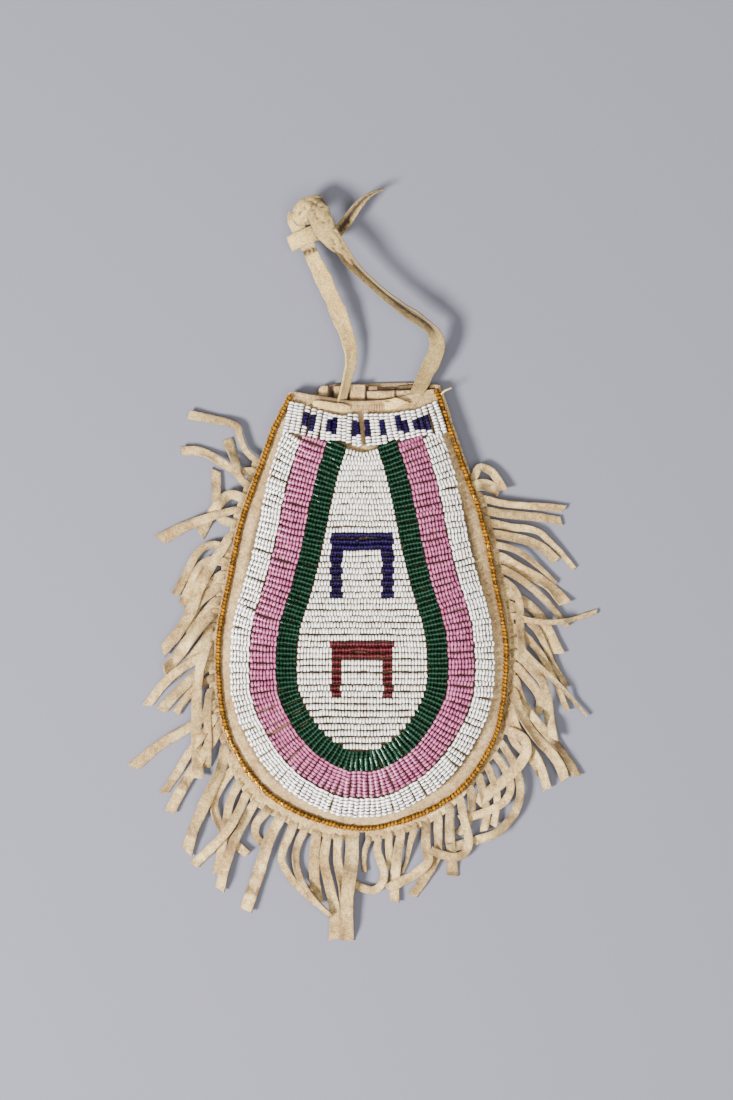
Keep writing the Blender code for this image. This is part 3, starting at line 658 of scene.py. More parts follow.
def knot_collar():
    """Closed band round both strands."""
    body, (_, shade_layer, stain_and_shade_layer) = strap_body()
    centre = at(COLLAR_COLUMN, COLLAR_ROW, COLLAR_MIDDLE)
    axis = Vector((-math.sin(COLLAR_TURN), math.cos(COLLAR_TURN), 0))
    wide = Vector((math.cos(COLLAR_TURN), math.sin(COLLAR_TURN), 0))
    profile = [(-1, 0.0), (-0.98, 0.8), (-0.88, 1.0), (-0.4, 1.0), (0.4, 1.0), (0.88, 1.0),
               (0.98, 0.8), (1, 0.0), (0.9, -0.9), (0, -1.0), (-0.9, -0.9)]
    span, tall = [(size - THONG_THICKNESS) / 2 for size in (COLLAR_SPAN, COLLAR_HEIGHT)]
    rings = []
    for k in range(COLLAR_STEPS):
        angle = 2 * math.pi * k / COLLAR_STEPS
        out = wide * math.cos(angle) + Vector((0, 0, math.sin(angle)))
        middle = wide * math.cos(angle) * span + Vector((0, 0, math.sin(angle) * tall))
        ring = []
        for a, b in profile:
            rough = 1 + 0.07 * noise.noise(Vector((math.cos(angle) * 2, math.sin(angle) * 2, a)))
            p = centre + middle + axis * a * COLLAR_LENGTH / 2 * rough
            p += out * (b * THONG_THICKNESS / 2 + 0.0003 * (1 - a * a))
            vertex = body.verts.new(p)
            vertex[shade_layer] = 0.62
            vertex[stain_and_shade_layer] = 0.25 * abs(a) ** 3
            ring.append(vertex)
        rings.append(ring)
    for low, high in zip(rings, rings[1:] + rings[:1]):
        for n in range(len(profile)):
            m = (n + 1) % len(profile)
            body.faces.new((low[n], low[m], high[m], high[n]))
    made = finish_strap("knot_collar_hide", body, thong_hide)
    settle(made, "thong_hide", "knot_collar")
    return made


collar = knot_collar()
print("drawstring pieces: 7")

# %% [markdown]
# ## The pouch
# The pouch is two panels of hide, sewn face to face and filled out a little, so the front
# rises from the seam and levels out. Both are grids of points whose height follows one
# rule, then Solidify gives them the thickness of the hide. A rule is better here than
# moving points by hand, because the beads read the same rule and lie on the hide.

# %% Pouch panels
HIDE = 0.0010
FRINGE_HIDE = 0.0008
CLEARANCE = 0.0003
SWELL = 0.0048
SWELL_REACH = 0.026
RIM_RISE = 0.0010
RIM_REACH = 0.004
MOUTH_FALL = 0.62
MOUTH_REACH = 0.012
PULL_ROW = 426
PULL_SHARE = 0.18
FOOT_ZONE = 0.003
SEAM_TOP = HIDE + CLEARANCE + FRINGE_HIDE + CLEARANCE + HIDE
FRONT_RIM = [(284, 393), (310, 396), (345, 402), (364, 402), (404, 397), (440, 389)]
BACK_RIM = [(284, 394), (312, 393), (328, 384), (362, 383), (410, 382), (440, 384)]
reach_up = hide_edge[0] - hide_edge[1]
tall_edge = [hide_edge[0] + reach_up * k for k in (8, 6, 4, 2)] + hide_edge
tall_edge += [Vector((-p.x, p.y, 0)) for p in tall_edge[:4]][::-1]
front_rim = spline([at(*p) for p in FRONT_RIM], 0.001)
back_rim = spline([at(*p) for p in BACK_RIM], 0.001)


# %% Height of the front
def seam_reach(x, y):
    """Distance from the edge of the hide, as if it ran straight on above the mouth."""
    best = 1.0
    for a, b in zip(tall_edge, tall_edge[1:]):
        dx, dy = b.x - a.x, b.y - a.y
        t = ((x - a.x) * dx + (y - a.y) * dy) / (dx * dx + dy * dy)
        t = min(max(t, 0.0), 1.0)
        ex, ey = x - a.x - dx * t, y - a.y - dy * t
        best = min(best, ex * ex + ey * ey)
    return math.sqrt(best)


def on_front(x, y):
    """Height of the front panel's upper face: it rises from the seam and levels out."""
    reach = seam_reach(x, y)
    turn = 1 - min(reach / RIM_REACH, 1)
    crown = 1 - min(reach / SWELL_REACH, 1)
    below = max(0.0, height_at(front_rim, x) - y)
    full = 1 - MOUTH_FALL * math.exp(-below / MOUTH_REACH)
    return SEAM_TOP + RIM_RISE * (1 - turn ** 2) + (SWELL - RIM_RISE) * (1 - crown ** 2) * full


def edge_pull(p):
    """The left side stands in from the seam near the mouth."""
    row = CENTRE_ROW - p.y / SQUARE
    return Vector((max(0.0, PULL_ROW - row) * PULL_SHARE * SQUARE if p.x < 0 else 0.0, 0, 0))


# %% Panel builder
def grid_faces(body, uv, grid):
    """Faces over lines of points, each line above the one before."""
    for low, high in zip(grid, grid[1:]):
        for k in range(len(low) - 1):
            face = body.faces.new((low[k], low[k + 1], high[k + 1], high[k]))
            for loop in face.loops:
                loop[uv].uv = (loop.vert.co.x * 10, loop.vert.co.y * 10)


def thicken(piece, thickness, even=False):
    wall = piece.modifiers.new("hide thickness", "SOLIDIFY")
    wall.thickness = thickness
    wall.offset = -1
    wall.use_even_offset = even


def panel(name, rim, columns, rows, height, stain_and_painted_shade, shade):
    """Sheet between the foot of the bag and a rim, with its stain and shade values."""
    start = min(p.y for p in hide_edge) + 0.0006
    below = [p for p in hide_edge if p.y < start + 0.012]
    foot_half = half_width(hide_edge, start + FOOT_ZONE)
    body, (uv, shade_layer, stain_and_shade_layer) = strap_body()
    grid = []
    for i in range(rows + 1):
        share = (i / rows) ** 1.1
        line = []
        for j in range(columns + 1):
            u = 2 * j / columns - 1
            rim_y = height_at(rim, u * -rim[0].x)
            low_y = height_at(below, u * foot_half)
            y = low_y + (rim_y - low_y) * share
            half = half_width(hide_edge, y)
            blend = min(1.0, (y - start) / FOOT_ZONE) if y > start else 0.0
            x = u * max(half, foot_half * (1 - blend) if y < start + FOOT_ZONE else 0)
            pull = edge_pull(Vector((x, y, 0))).x * abs(u)
            vertex = body.verts.new((x + pull, y, height(x, y)))
            vertex[shade_layer] = shade(x, y)
            vertex[stain_and_shade_layer] = stain_and_painted_shade(x, y)
            line.append(vertex)
        grid.append(line)
    grid_faces(body, uv, grid)
    made = put(name + "_hide", body, hide)
    thicken(made, HIDE, even=True)
    settle(made, "tanned_hide", name)
    print(name, "points:", len(made.data.vertices))
    return made


# %% Front and back panel
def front_height(x, y):
    return on_front(x, y) + 0.00012 * wander(Vector((x, y, 0)), 140, 3.0)


def seam_stain(x, y):
    """Brown, waxed patches beside the edge beads."""
    away = abs(seam_reach(x, y) - EDGE_MARGIN)
    near = math.exp(-(away / 0.0027) ** 2)
    patch = 0.6 + 1.1 * wander(Vector((x, y, 0)), 210, 11.0)
    return min(1.0, max(0.0, near * patch) * (0.9 if x < 0 else 0.45))


BEAD_MARGIN = 0.0055
BARE_SPOTS = [(361, 430, 5, 16), (360, 449, 13, 3.5), (362, 541, 9, 1.5), (362, 650, 9, 1.5),
              (291, 434, 9, 2.5), (440, 437, 8, 3), (351, 456, 6, 2)]


def painted_shade_under_beads(x, y):
    """Painted shade: the hide between the rows is darkened, but not in the bare spots."""
    column, row = CENTRE_COLUMN + x / SQUARE, CENTRE_ROW - y / SQUARE
    under = min(1.0, max(0.0, (seam_reach(x, y) - BEAD_MARGIN) / 0.001))
    under *= min(1.0, max(0.0, (row - 416 + 11 * (x / 0.026) ** 2) / 2))
    for middle, level, wide, tall in BARE_SPOTS:
        away = ((column - middle) / wide) ** 2 + ((row - level) / tall) ** 2
        under *= min(1.0, max(0.0, away - 0.7))
    return 0.6 - 1.9 * under


front = panel("front_panel", front_rim, 130, 160, front_height, seam_stain, painted_shade_under_beads)


def back_height(x, y):
    return HIDE + 0.0002 * wander(Vector((x, y, 0)), 90, 2.0)


back = panel("back_panel", back_rim, 90, 90, back_height, lambda x, y: 0.0, lambda x, y: 0.5)

# %% [markdown]
# ### The mouth
# At the mouth the hide is folded over and drawn into gathers. Each hem is a fine strip between two
# lines, and short lists say how high, how light and how brown it stands at each column of the
# drawing grid. The lightness is painted light and shade, and the brown is partly real stain and
# partly painted shade in creases and hollows. Two entries close together make a sharp fold.

# %% Hems at the mouth
FRONT_TOP = [(287.5, 395), (288.5, 392.3), (291, 391.3), (297, 391.8), (304, 393.2),
             (312, 394.8), (321, 395.8), (332, 397.4), (343, 399.6), (352, 400.8), (366, 400.8),
             (385, 399.8), (394, 398.2), (403, 396.2), (412, 393.8), (422, 391.2), (431, 389.2),
             (436, 388.8), (438.5, 391)]
FRONT_HEM_DEPTH = 17
HEM_THICKNESS = 0.0006
HEM_LIFT = 0.0001
# Columns of (height in mm, shade, stain). The shade is painted light and shade: the roll is darker
# from about column 320 to 346, where it lies in shadow, and its stain there is painted shade too.
HEM_ROLL = [(287, (0.30, 1.0, 0.10)), (300, (0.35, 0.9, 0.05)), (314, (0.40, 0.6, 0.20)),
            (320, (0.60, -0.8, 0.60)), (346, (0.55, -0.7, 0.55)), (352, (0.40, 0.5, 0.25)),
            (384, (0.40, 0.9, 0.05)), (398, (0.35, 0.9, 0.05)), (439, (0.30, 1.1, 0.00))]
HEM_FACE = [(287, (0.10, 0.9, 0.00)), (311, (0.10, 0.9, 0.00)), (350, (0.10, 0.9, 0.00)),
            (384, (0.10, 1.0, 0.00)), (439, (0.12, 0.9, 0.05))]
GATHERS = (350, 386, 2.7)
BACK_TOP = [(317.5, 393), (318.5, 388), (321, 385.2), (325, 384.2), (330, 385.4), (336, 384.6),
            (349, 384.0), (350, 383.4), (365, 383.4), (366.5, 385.6), (369, 384.6), (377, 384.6),
            (379, 386.2), (396, 385.8), (398, 384.4), (414, 383.4), (425, 383.6), (429, 385),
            (432, 383.2), (438, 383.4), (441, 386), (442, 390)]
BACK_FOOT = [(317.5, 396), (330, 399), (345, 402), (366, 403), (390, 402), (410, 398),
             (428, 393), (442, 391)]
# Columns of (height in mm, shade, stain) for the two tiers. The shade is painted light and shade,
# high on the lit bulges and low in the folds, and the high stains in the folds are painted shade.
UPPER_TIER = [(317, (0.9, 0.2, 0.6)), (319, (2.2, 0.8, 0.2)), (323, (2.9, 1.2, 0.0)),
              (327.5, (2.7, 0.9, 0.1)), (329, (1.4, 0.0, 0.9)), (330.5, (0.6, -0.6, 1.2)),
              (333, (0.7, -0.6, 1.2)), (334.5, (1.9, 0.3, 0.4)), (339, (2.3, 0.6, 0.1)),
              (345, (2.0, 0.2, 0.4)), (348.5, (1.0, -0.5, 1.1)), (350, (3.0, 0.8, 0.2)),
              (352, (3.2, 1.2, 0.0)), (364, (3.3, 1.2, 0.0)), (365.2, (3.0, 0.5, 0.3)),
              (366, (1.0, -0.5, 1.2)), (368, (1.2, -0.4, 1.1)), (369, (2.5, 0.6, 0.2)),
              (377, (2.5, 0.6, 0.2)), (378.2, (1.5, -0.4, 1.0)), (380, (1.7, -0.3, 0.95)),
              (394.5, (1.8, -0.3, 0.95)), (396, (0.9, -0.8, 1.3)), (397.5, (1.9, -0.3, 0.95)),
              (412, (2.1, -0.2, 0.85)), (427, (1.9, 0.0, 0.6)), (429, (1.0, -0.4, 1.1)),
              (430.5, (3.2, 1.1, 0.1)), (438, (3.6, 1.2, 0.0)), (442, (1.6, 0.7, 0.3))]
LOWER_TIER = [(317, (0.9, 0.2, 0.6)), (319, (2.2, 0.8, 0.2)), (323, (2.9, 1.1, 0.0)),
              (327.5, (2.7, 0.7, 0.2)), (329, (1.4, 0.0, 0.9)), (330.5, (0.6, -0.6, 1.2)),
              (333, (0.7, -0.6, 1.2)), (334.5, (1.9, 0.3, 0.4)), (339, (2.1, 0.7, 0.0)),
              (345, (2.0, 0.3, 0.4)), (348.5, (1.0, -0.5, 1.1)), (350, (3.0, 0.8, 0.2)),
              (352, (3.2, 1.2, 0.0)), (364, (3.3, 1.1, 0.1)), (365.2, (3.0, 0.5, 0.4)),
              (366, (1.0, -0.6, 1.2)), (367.5, (3.2, 0.8, 0.1)), (378, (3.7, 1.0, 0.0)),
              (394, (3.7, 0.8, 0.1)), (396, (2.5, 0.0, 0.8)), (398, (3.7, 0.9, 0.1)),
              (412, (3.5, 0.9, 0.1)), (427, (2.8, 0.7, 0.1)), (429, (1.9, -0.2, 0.9)),
              (431, (3.0, 0.8, 0.1)), (442, (1.6, 0.6, 0.3))]
TIER_ROW = 390.2


# %% Hem builder
def levels(marks, column):
    """Three values read from a list of (column, values)."""
    for (low, a), (high, b) in zip(marks, marks[1:]):
        if column <= high:
            t = max(0.0, (column - low) / (high - low))
            return [p + (q - p) * t for p, q in zip(a, b)]
    return list(marks[-1][1])


def hem(name, top_line, foot_line, columns, rows, figure):
    """Fine strip of hide; figure gives height, shade and stain at a grid place."""
    top, foot = [at(*p) for p in top_line], [at(*p) for p in foot_line]
    body, (uv, shade_layer, stain_and_shade_layer) = strap_body()
    grid = []
    for j in range(rows + 1):
        line = []
        for i in range(columns + 1):
            x = top[0].x + (top[-1].x - top[0].x) * i / columns
            high, low = height_at(top, x), height_at(foot, x)
            y = high + (min(low, high - 0.0002) - high) * j / rows
            column, row = CENTRE_COLUMN + x / SQUARE, CENTRE_ROW - y / SQUARE
            z, shade, stain_and_painted_shade = figure(column, row, (high - y) / SQUARE)
            vertex = body.verts.new((x, y, z))
            vertex[shade_layer] = shade
            vertex[stain_and_shade_layer] = stain_and_painted_shade
            line.append(vertex)
        grid.append(line)
    grid_faces(body, uv, grid[::-1])
    made = put(name, body, hide)
    thicken(made, HEM_THICKNESS)
    settle(made, "tanned_hide")
    print(name, "points:", len(made.data.vertices))
    return made


# %% Front hem
def front_figure(column, row, depth):
    """A rolled edge, a groove below it, and fine gathers in the middle; the groove and the hollows
    of the gathers are painted shade.
    """
    x, y = (column - CENTRE_COLUMN) * SQUARE, (CENTRE_ROW - row) * SQUARE
    roll, face = levels(HEM_ROLL, column), levels(HEM_FACE, column)
    share = min(max((depth - 3.6) / 0.9, 0), 1)
    rise, shade, stain_and_painted_shade = [a + (b - a) * share for a, b in zip(roll, face)]
    if depth < 4:
        rise = 0.1 + (rise - 0.1) * math.sqrt(max(0.0, 1 - ((depth - 1.9) / 2.3) ** 2))
    z = on_front(x, y) + HEM_LIFT + rise * 0.001
    z += 0.00022 * wander(Vector((x, y, 0)), 420, 3.0)
    start, end, pitch = GATHERS
    if start < column < end and depth > 3.2:
        phase = 2 * math.pi * column / pitch + 1.5 * wander(Vector((x, y, 0)), 150, 8.0)
        fade = min(1.0, (column - start) / 3, (end - column) / 3)
        uneven = 0.55 + 0.9 * wander(Vector((x, y, 0)), 260, 15.0)
        z += 0.00016 * fade * uneven * math.sin(phase)
        # Painted shade in the hollows of the gathers.
        stain_and_painted_shade += 0.22 * fade * uneven * max(0.0, -math.sin(phase)) ** 2
    groove = math.exp(-((depth - 4.1) / 0.7) ** 2)
    laced = 316 < column < 352
    z -= (0.0007 if laced else 0.0002) * groove
    # Painted shade in the groove, darkest where the left lacing runs just below it.
    stain_and_painted_shade += groove * (1.2 if laced else 0.20)
    return z, shade, min(1.0, stain_and_painted_shade)


front_foot = [(column, row + FRONT_HEM_DEPTH) for column, row in FRONT_TOP]
front_hem = hem("front_hem", FRONT_TOP, front_foot, 340, 34, front_figure)


# %% Back hem
def back_figure(column, row, depth):
    """Two tiers of gathers, with painted shade in the crease between them, in the hollows, along
    the top edge and at the foot.
    """
    x, y = (column - CENTRE_COLUMN) * SQUARE, (CENTRE_ROW - row) * SQUARE
    upper, lower = levels(UPPER_TIER, column), levels(LOWER_TIER, column)
    split = TIER_ROW - (column - 366) * 0.022 + 0.5 * wander(Vector((x, 0, 0)), 300, 12.0)
    share = min(max((row - split) / 0.9 + 0.5, 0), 1)
    z, shade, stain_and_painted_shade = [a + (b - a) * share for a, b in zip(upper, lower)]
    if column > 367:
        crease = math.exp(-((row - split) / 0.6) ** 2)
        z -= 0.8 * crease
        # Painted shade in the crease between the tiers.
        stain_and_painted_shade += 1.1 * crease
        z -= 0.12 * max(0.0, abs(row - 394.5) - 2.5)
    z -= 1.2 * max(0.0, 1 - depth / 1.2)
    # Painted shade along the top edge.
    stain_and_painted_shade += 0.5 * max(0.0, 1 - depth / 1.0)
    rough = wander(Vector((x, y, 0)), 380, 6.0)
    z += 0.50 * rough + 0.16 * wander(Vector((x, y, 0)), 1100, 7.0)
    # Painted shade in the hollows, and towards the foot, where the front rim throws its shadow.
    stain_and_painted_shade += 1.1 * max(0.0, -rough - 0.15) + 0.35 * max(0.0, row - 396.5)
    # The shade values are stretched: painted light on the bulges and painted shade in the folds.
    return max(0.0007, z * 0.001 + 0.0009), shade * 1.5, min(1.2, max(0.0, stain_and_painted_shade))


back_hem = hem("back_hem", BACK_TOP, BACK_FOOT, 280, 36, back_figure)

# %% [markdown]
# ### Panels as sheets
# Both panels were cut from one flat hide before they were sewn.

# %% [markdown]
# ### Loose edge of hide
# Right of the mouth the back panel stands out past the edge beads as a narrow, uneven
# lip. It is one more strap, thin and with a strong wave in its width.

# %% Side lip
SIDE_HEM = [(437.5, 386), (441.5, 395), (444.8, 404), (448.8, 417), (455.3, 436), (462.3, 455),
            (469.3, 474)]
side_route = spline([at(*p) for p in SIDE_HEM], 0.0007)
for p in side_route:
    p.z = SEAM_TOP + 0.0003
side_count = len(side_route)
side_halves = [0.0010 - 0.0004 * k / (side_count - 1) for k in range(side_count)]
body, layers = strap_body()
add_strap(body, layers, side_route, side_halves, HIDE / 2, [0.0] * side_count, 0.9,
          [0.0] * side_count, cup=-0.1, seed=71.0, wave=0.35)
side_hem = finish_strap("side_hem", body, hide)
settle(side_hem, "tanned_hide")
print("side lip, mm:", round(length_of(side_route) * 1000, 1))

# %% [markdown]
# ## The fringe
# A strip of hide is caught in the seam on each side and cut into strands with scissors.
# Every strand has a width at its root, a width at its tip and a laying order, because
# later ones lie over earlier ones. The strands are laid down in that order, and each is
# lifted where it crosses one that is already there. They are listed one by one, not
# scattered, because in the photograph each one lies its own way.

# %% Fringe strands
LEFT_STRANDS = [
    (6, 10, 3, (254, 459), (242, 445), (236, 426), (212, 419), (188, 414)),
    (8, 10, 1, (250, 471), (237, 471), (224, 464), (212, 457), (199, 451), (181, 450)),
    (8, 11, 2, (246, 484), (239, 477), (234, 458), (226, 439)),
    (10, 12, 1, (241, 497), (231, 494), (220, 502), (209, 517), (199, 534)),
    (7, 13, 3, (236, 510), (226, 512), (210, 517), (183, 527), (159, 540)),
    (9, 10, 0, (232, 523), (221, 519), (216, 503), (216, 487), (215, 470)),
    (9, 13, 2, (230, 536), (222, 549), (210, 567), (198, 590), (190, 614)),
    (8, 9, 0, (227, 549), (214, 545), (200, 550), (187, 571), (174, 595)),
    (9, 11, 1, (223, 562), (212, 560), (201, 565), (191, 583), (182, 606)),
    (9, 10, 0, (221, 575), (211, 584), (200, 600), (190, 618), (184, 633)),
    (10, 12, 1, (218, 588), (206, 596), (193, 608), (180, 629), (162, 652)),
    (9, 9, 0, (216, 601), (204, 614), (192, 632), (182, 646)),
    (10, 13, 3, (212, 614), (203, 624), (192, 638), (178, 654), (164, 671)),
    (9, 9, 0, (210, 627), (203, 641), (193, 655), (181, 669), (172, 679)),
    (10, 12, 3, (209, 640), (202, 660), (197, 690), (196, 735), (198, 779)),
    (9, 10, 1, (208, 653), (195, 660), (178, 671), (160, 688), (146, 706)),
    (10, 11, 2, (209, 666), (195, 676), (177, 693), (160, 711)),
    (9, 9, 1, (210, 679), (198, 687), (185, 699), (175, 714)),
    (8, 9, 2, (210, 692), (207, 712), (208, 740), (206, 768)),
    (10, 12, 1, (212, 705), (202, 717), (187, 729), (160, 745), (132, 768)),
    (9, 9, 0, (214, 718), (204, 734), (190, 752), (176, 774), (163, 794)),
    (10, 12, 1, (217, 731), (206, 750), (193, 770), (181, 790), (169, 813)),
    (11, 14, 3, (225, 749), (219, 772), (207, 798), (196, 825), (186, 853)),
    (9, 9, 0, (232, 771), (221, 785), (213, 804), (218, 824), (232, 842), (247, 855)),
    (9, 9, 1, (239, 784), (230, 801), (226, 822), (221, 850), (216, 875)),
    (9, 10, 3, (246, 795), (240, 809), (229, 828), (211, 848), (193, 867)),
    (9, 12, 2, (254, 804), (244, 821), (233, 843), (225, 866), (220, 891)),
    (10, 8, 1, (266, 812), (257, 823), (255, 835), (262, 847)),
    (11, 14, 2, (280, 819), (271, 834), (265, 851), (257, 877), (246, 912)),
    (10, 6, 1, (293, 826), (287, 842), (281, 857), (288, 875), (301, 891), (319, 907)),
    (9, 6, 2, (304, 831), (298, 844), (295, 860), (300, 880), (314, 899), (331, 917)),
    (10, 12, 0, (316, 835), (314, 860), (315, 885), (318, 904)),
    (9, 12, 1, (327, 838), (324, 862), (330, 890), (335, 915), (334, 941)),
    (9, 11, 0, (338, 840), (338, 862), (342, 886), (345, 908)),
    (14, 14, 2, (352, 841), (351, 865), (348, 892), (347, 917), (347, 942)),
]
RIGHT_STRANDS = [
    (8, 9, 3, (474, 477), (478, 468), (488, 469), (497, 478), (505, 490)),
    (11, 14, 2, (476, 486), (486, 484), (500, 491)),
    (8, 8, 2, (485, 499), (505, 503), (538, 506), (565, 509)),
    (9, 9, 1, (488, 511), (506, 514), (538, 517), (562, 521)),
    (9, 6, 2, (491, 523), (513, 527), (536, 530), (549, 540), (562, 553), (575, 569)),
    (9, 10, 1, (494, 534), (513, 537), (534, 543), (548, 552), (557, 561)),
    (8, 4, 1, (497, 545), (513, 549), (527, 557), (542, 569), (557, 583)),
    (10, 13, 2, (500, 557), (515, 564), (530, 574), (550, 587), (566, 604)),
    (9, 6, 0, (502, 569), (518, 577), (537, 592), (553, 608), (568, 627)),
    (8, 10, 3, (504, 581), (515, 590), (520, 603), (520, 622), (522, 648), (524, 677)),
    (9, 12, 1, (508, 593), (521, 600), (534, 609), (546, 626), (560, 654)),
    (9, 6, 1, (511, 605), (524, 617), (538, 631), (548, 650), (557, 669), (568, 687)),
    (7, 5, 2, (513, 616), (528, 620), (548, 622), (572, 620), (598, 612)),
    (9, 6, 0, (515, 628), (527, 638), (540, 653), (550, 670), (560, 691), (568, 711)),
    (9, 3, 2, (516, 641), (527, 655), (545, 672), (565, 691), (588, 717)),
    (9, 11, 1, (516, 654), (530, 667), (543, 682), (548, 702), (551, 722), (554, 739)),
    (9, 9, 0, (516, 666), (528, 680), (538, 693), (541, 704), (539, 714)),
    (9, 10, 1, (515, 679), (524, 704), (540, 725), (556, 744), (568, 760), (577, 777)),
    (10, 11, 2, (513, 692), (521, 714), (534, 735), (550, 752), (560, 765), (566, 780)),
    (9, 10, 1, (511, 705), (517, 728), (529, 745), (540, 762), (548, 790)),
    (8, 8, 0, (508, 717), (513, 740), (524, 753), (535, 764), (541, 777)),
    (9, 13, 3, (505, 730), (515, 733), (526, 742), (525, 757), (510, 776), (493, 790),
     (477, 803)),
    (8, 10, 1, (501, 743), (512, 760), (520, 782), (519, 803), (509, 822), (495, 834),
     (474, 842), (450, 849)),
    (8, 9, 2, (495, 755), (506, 771), (511, 788), (506, 801), (492, 810), (476, 816),
     (460, 820)),
    (8, 8, 0, (487, 766), (495, 785), (498, 806), (494, 827)),
    (9, 9, 0, (479, 777), (484, 797), (487, 815), (485, 832)),
    (9, 9, 0, (470, 789), (472, 808), (468, 824), (459, 836)),
    (9, 9, 3, (460, 800), (465, 822), (469, 843), (462, 857), (447, 857), (431, 851)),
    (9, 12, 1, (450, 810), (450, 834), (452, 855), (453, 877)),
    (9, 10, 2, (438, 818), (439, 842), (438, 858), (425, 880), (412, 897)),
    (9, 11, 3, (426, 825), (426, 848), (428, 862), (414, 877), (401, 883), (388, 890)),
    (9, 3, 1, (414, 830), (410, 848), (407, 861), (402, 874)),
    (9, 11, 1, (401, 834), (397, 858), (395, 882), (395, 903)),
    (8, 8, 0, (389, 837), (389, 853), (390, 869)),
    (8, 9, 2, (378, 840), (378, 856), (384, 870), (382, 885), (371, 892), (353, 885)),
    (6, 6, 0, (368, 841), (364, 857), (365, 873)),
]
WELT = 0.0022
WELT_RISE = 0.0012
SLIT = 0.0005
STRAND_STEP = 0.0040
STRAND_FALL = 0.55
ROOT_DEPTH = 0.0022
TIERS = 4


# %% Places on the seam
def nearest(line, point):
    """Distance along a line of the place nearest to a point, and the point's distance."""
    best = None
    run = 0.0
    for a, b in zip(line, line[1:]):
        piece = b - a
        t = min(max((point - a).dot(piece) / piece.length_squared, 0), 1)
        gap = (point - a - piece * t).length
        if best is None or gap < best[1]:
            best = (run + t * piece.length, gap)
        run += piece.length
    return best


def side_of(line, distance):
    """Direction to the right of a line at a distance along it."""
    return right_of(along(line, distance + 0.0005) - along(line, max(distance - 0.0005, 0)))


def strand_heights(route, half, laid, order):
    """Level of a strand over the ones already down."""
    low = FRINGE_HIDE / 2 + 0.0001
    root = HIDE + CLEARANCE + FRINGE_HIDE / 2
    rest = low + FRINGE_HIDE / 2 * (order % TIERS)
    last = len(route) - 1
    levels = [root + (rest - root) * (k / last) ** 0.7 for k in range(last + 1)]
    for k in range(1, last + 1):
        for p, reach, top in laid:
            if (p - route[k]).length < reach + half[k] + 0.0004:
                levels[k] = max(levels[k], top + CLEARANCE + FRINGE_HIDE)
    levels[0] = root
    for k in range(last - 1, 0, -1):
        levels[k] = max(levels[k], levels[k + 1] - STRAND_STEP * STRAND_FALL)
    for k in range(1, last + 1):
        levels[k] = max(levels[k], levels[k - 1] - STRAND_STEP * STRAND_FALL)
    return levels


# %% Strands of one side
def on_seam(strands):
    """Strands in their order along the seam: distance, reach out of it, strand, points."""
    placed = []
    for strand in strands:
        points = [at(*p) for p in strand[3:]]
        distance, outward = nearest(seam, points[0])
        placed.append((distance, outward, strand, points))
    placed.sort(key=lambda entry: entry[0])
    return placed


def lay_strands(body, layers, placed, seed):
    """Lay the strands down, the lowest first, each with its own roll, cup and colour."""
    draw = random.Random(seed)
    laid = []
    for number in sorted(range(len(placed)), key=lambda k: (placed[k][2][2], k)):
        distance, outward, strand, points = placed[number]
        side = side_of(seam, distance)
        points[0] = along(seam, distance) + side * outward
        coarse = spline(points, STRAND_STEP)
        last = len(coarse) - 1
        half = [(strand[0] + (strand[1] - strand[0]) * k / last) * SQUARE / 2 - SLIT / 2
                for k in range(last + 1)]
        levels = strand_heights(coarse, half, laid, strand[2] + number)
        for k, p in enumerate(coarse):
            laid.append((p.copy(), half[k], levels[k] + FRINGE_HIDE / 2))
            if k:
                laid.append(((p + coarse[k - 1]) / 2, half[k],
                             (levels[k] + levels[k - 1] + FRINGE_HIDE) / 2))
        raised = [Vector((p.x, p.y, z)) for p, z in zip(coarse, levels)]
        raised.insert(0, raised[0] - side * ROOT_DEPTH)
        raised[1].z += WELT_RISE
        route = spline(raised, 0.0009)
        count = len(route)
        shade = draw.uniform(0.0, 1.05)
        roll = draw.uniform(-0.75, 0.75)
        swing = draw.uniform(3, 8)
        rise = draw.uniform(0.0006, 0.0026)
        halves, turns, stain_and_painted_shade = [], [], []
        for k, p in enumerate(route):
            t = k / (count - 1)
            place = t * last
            m = min(int(place), last - 1)
            p.z += rise * math.sin(math.pi * min(1.0, t * 1.15) ** 0.7) ** 2
            halves.append(half[m] + (half[m + 1] - half[m]) * (place - m) + SLIT * 0.35)
            turns.append(roll * math.sin(swing * t) * min(1.0, t * 2.5))
            spot = wander(Vector((p.x, p.y, 0)), 190, seed + number * 0.61)
            tip = 0.35 * max(0.0, t - 0.75) * 4 * abs(spot)
            stain_and_painted_shade.append(max(0.0, 1.7 * spot - 0.22) + tip)
        add_strap(body, layers, route, halves, FRINGE_HIDE / 2, turns, shade, stain_and_painted_shade,
                  cup=draw.uniform(-0.14, 0.30), slant=draw.uniform(-0.6, 0.6),
                  seed=seed + number * 1.7, wave=0.09)


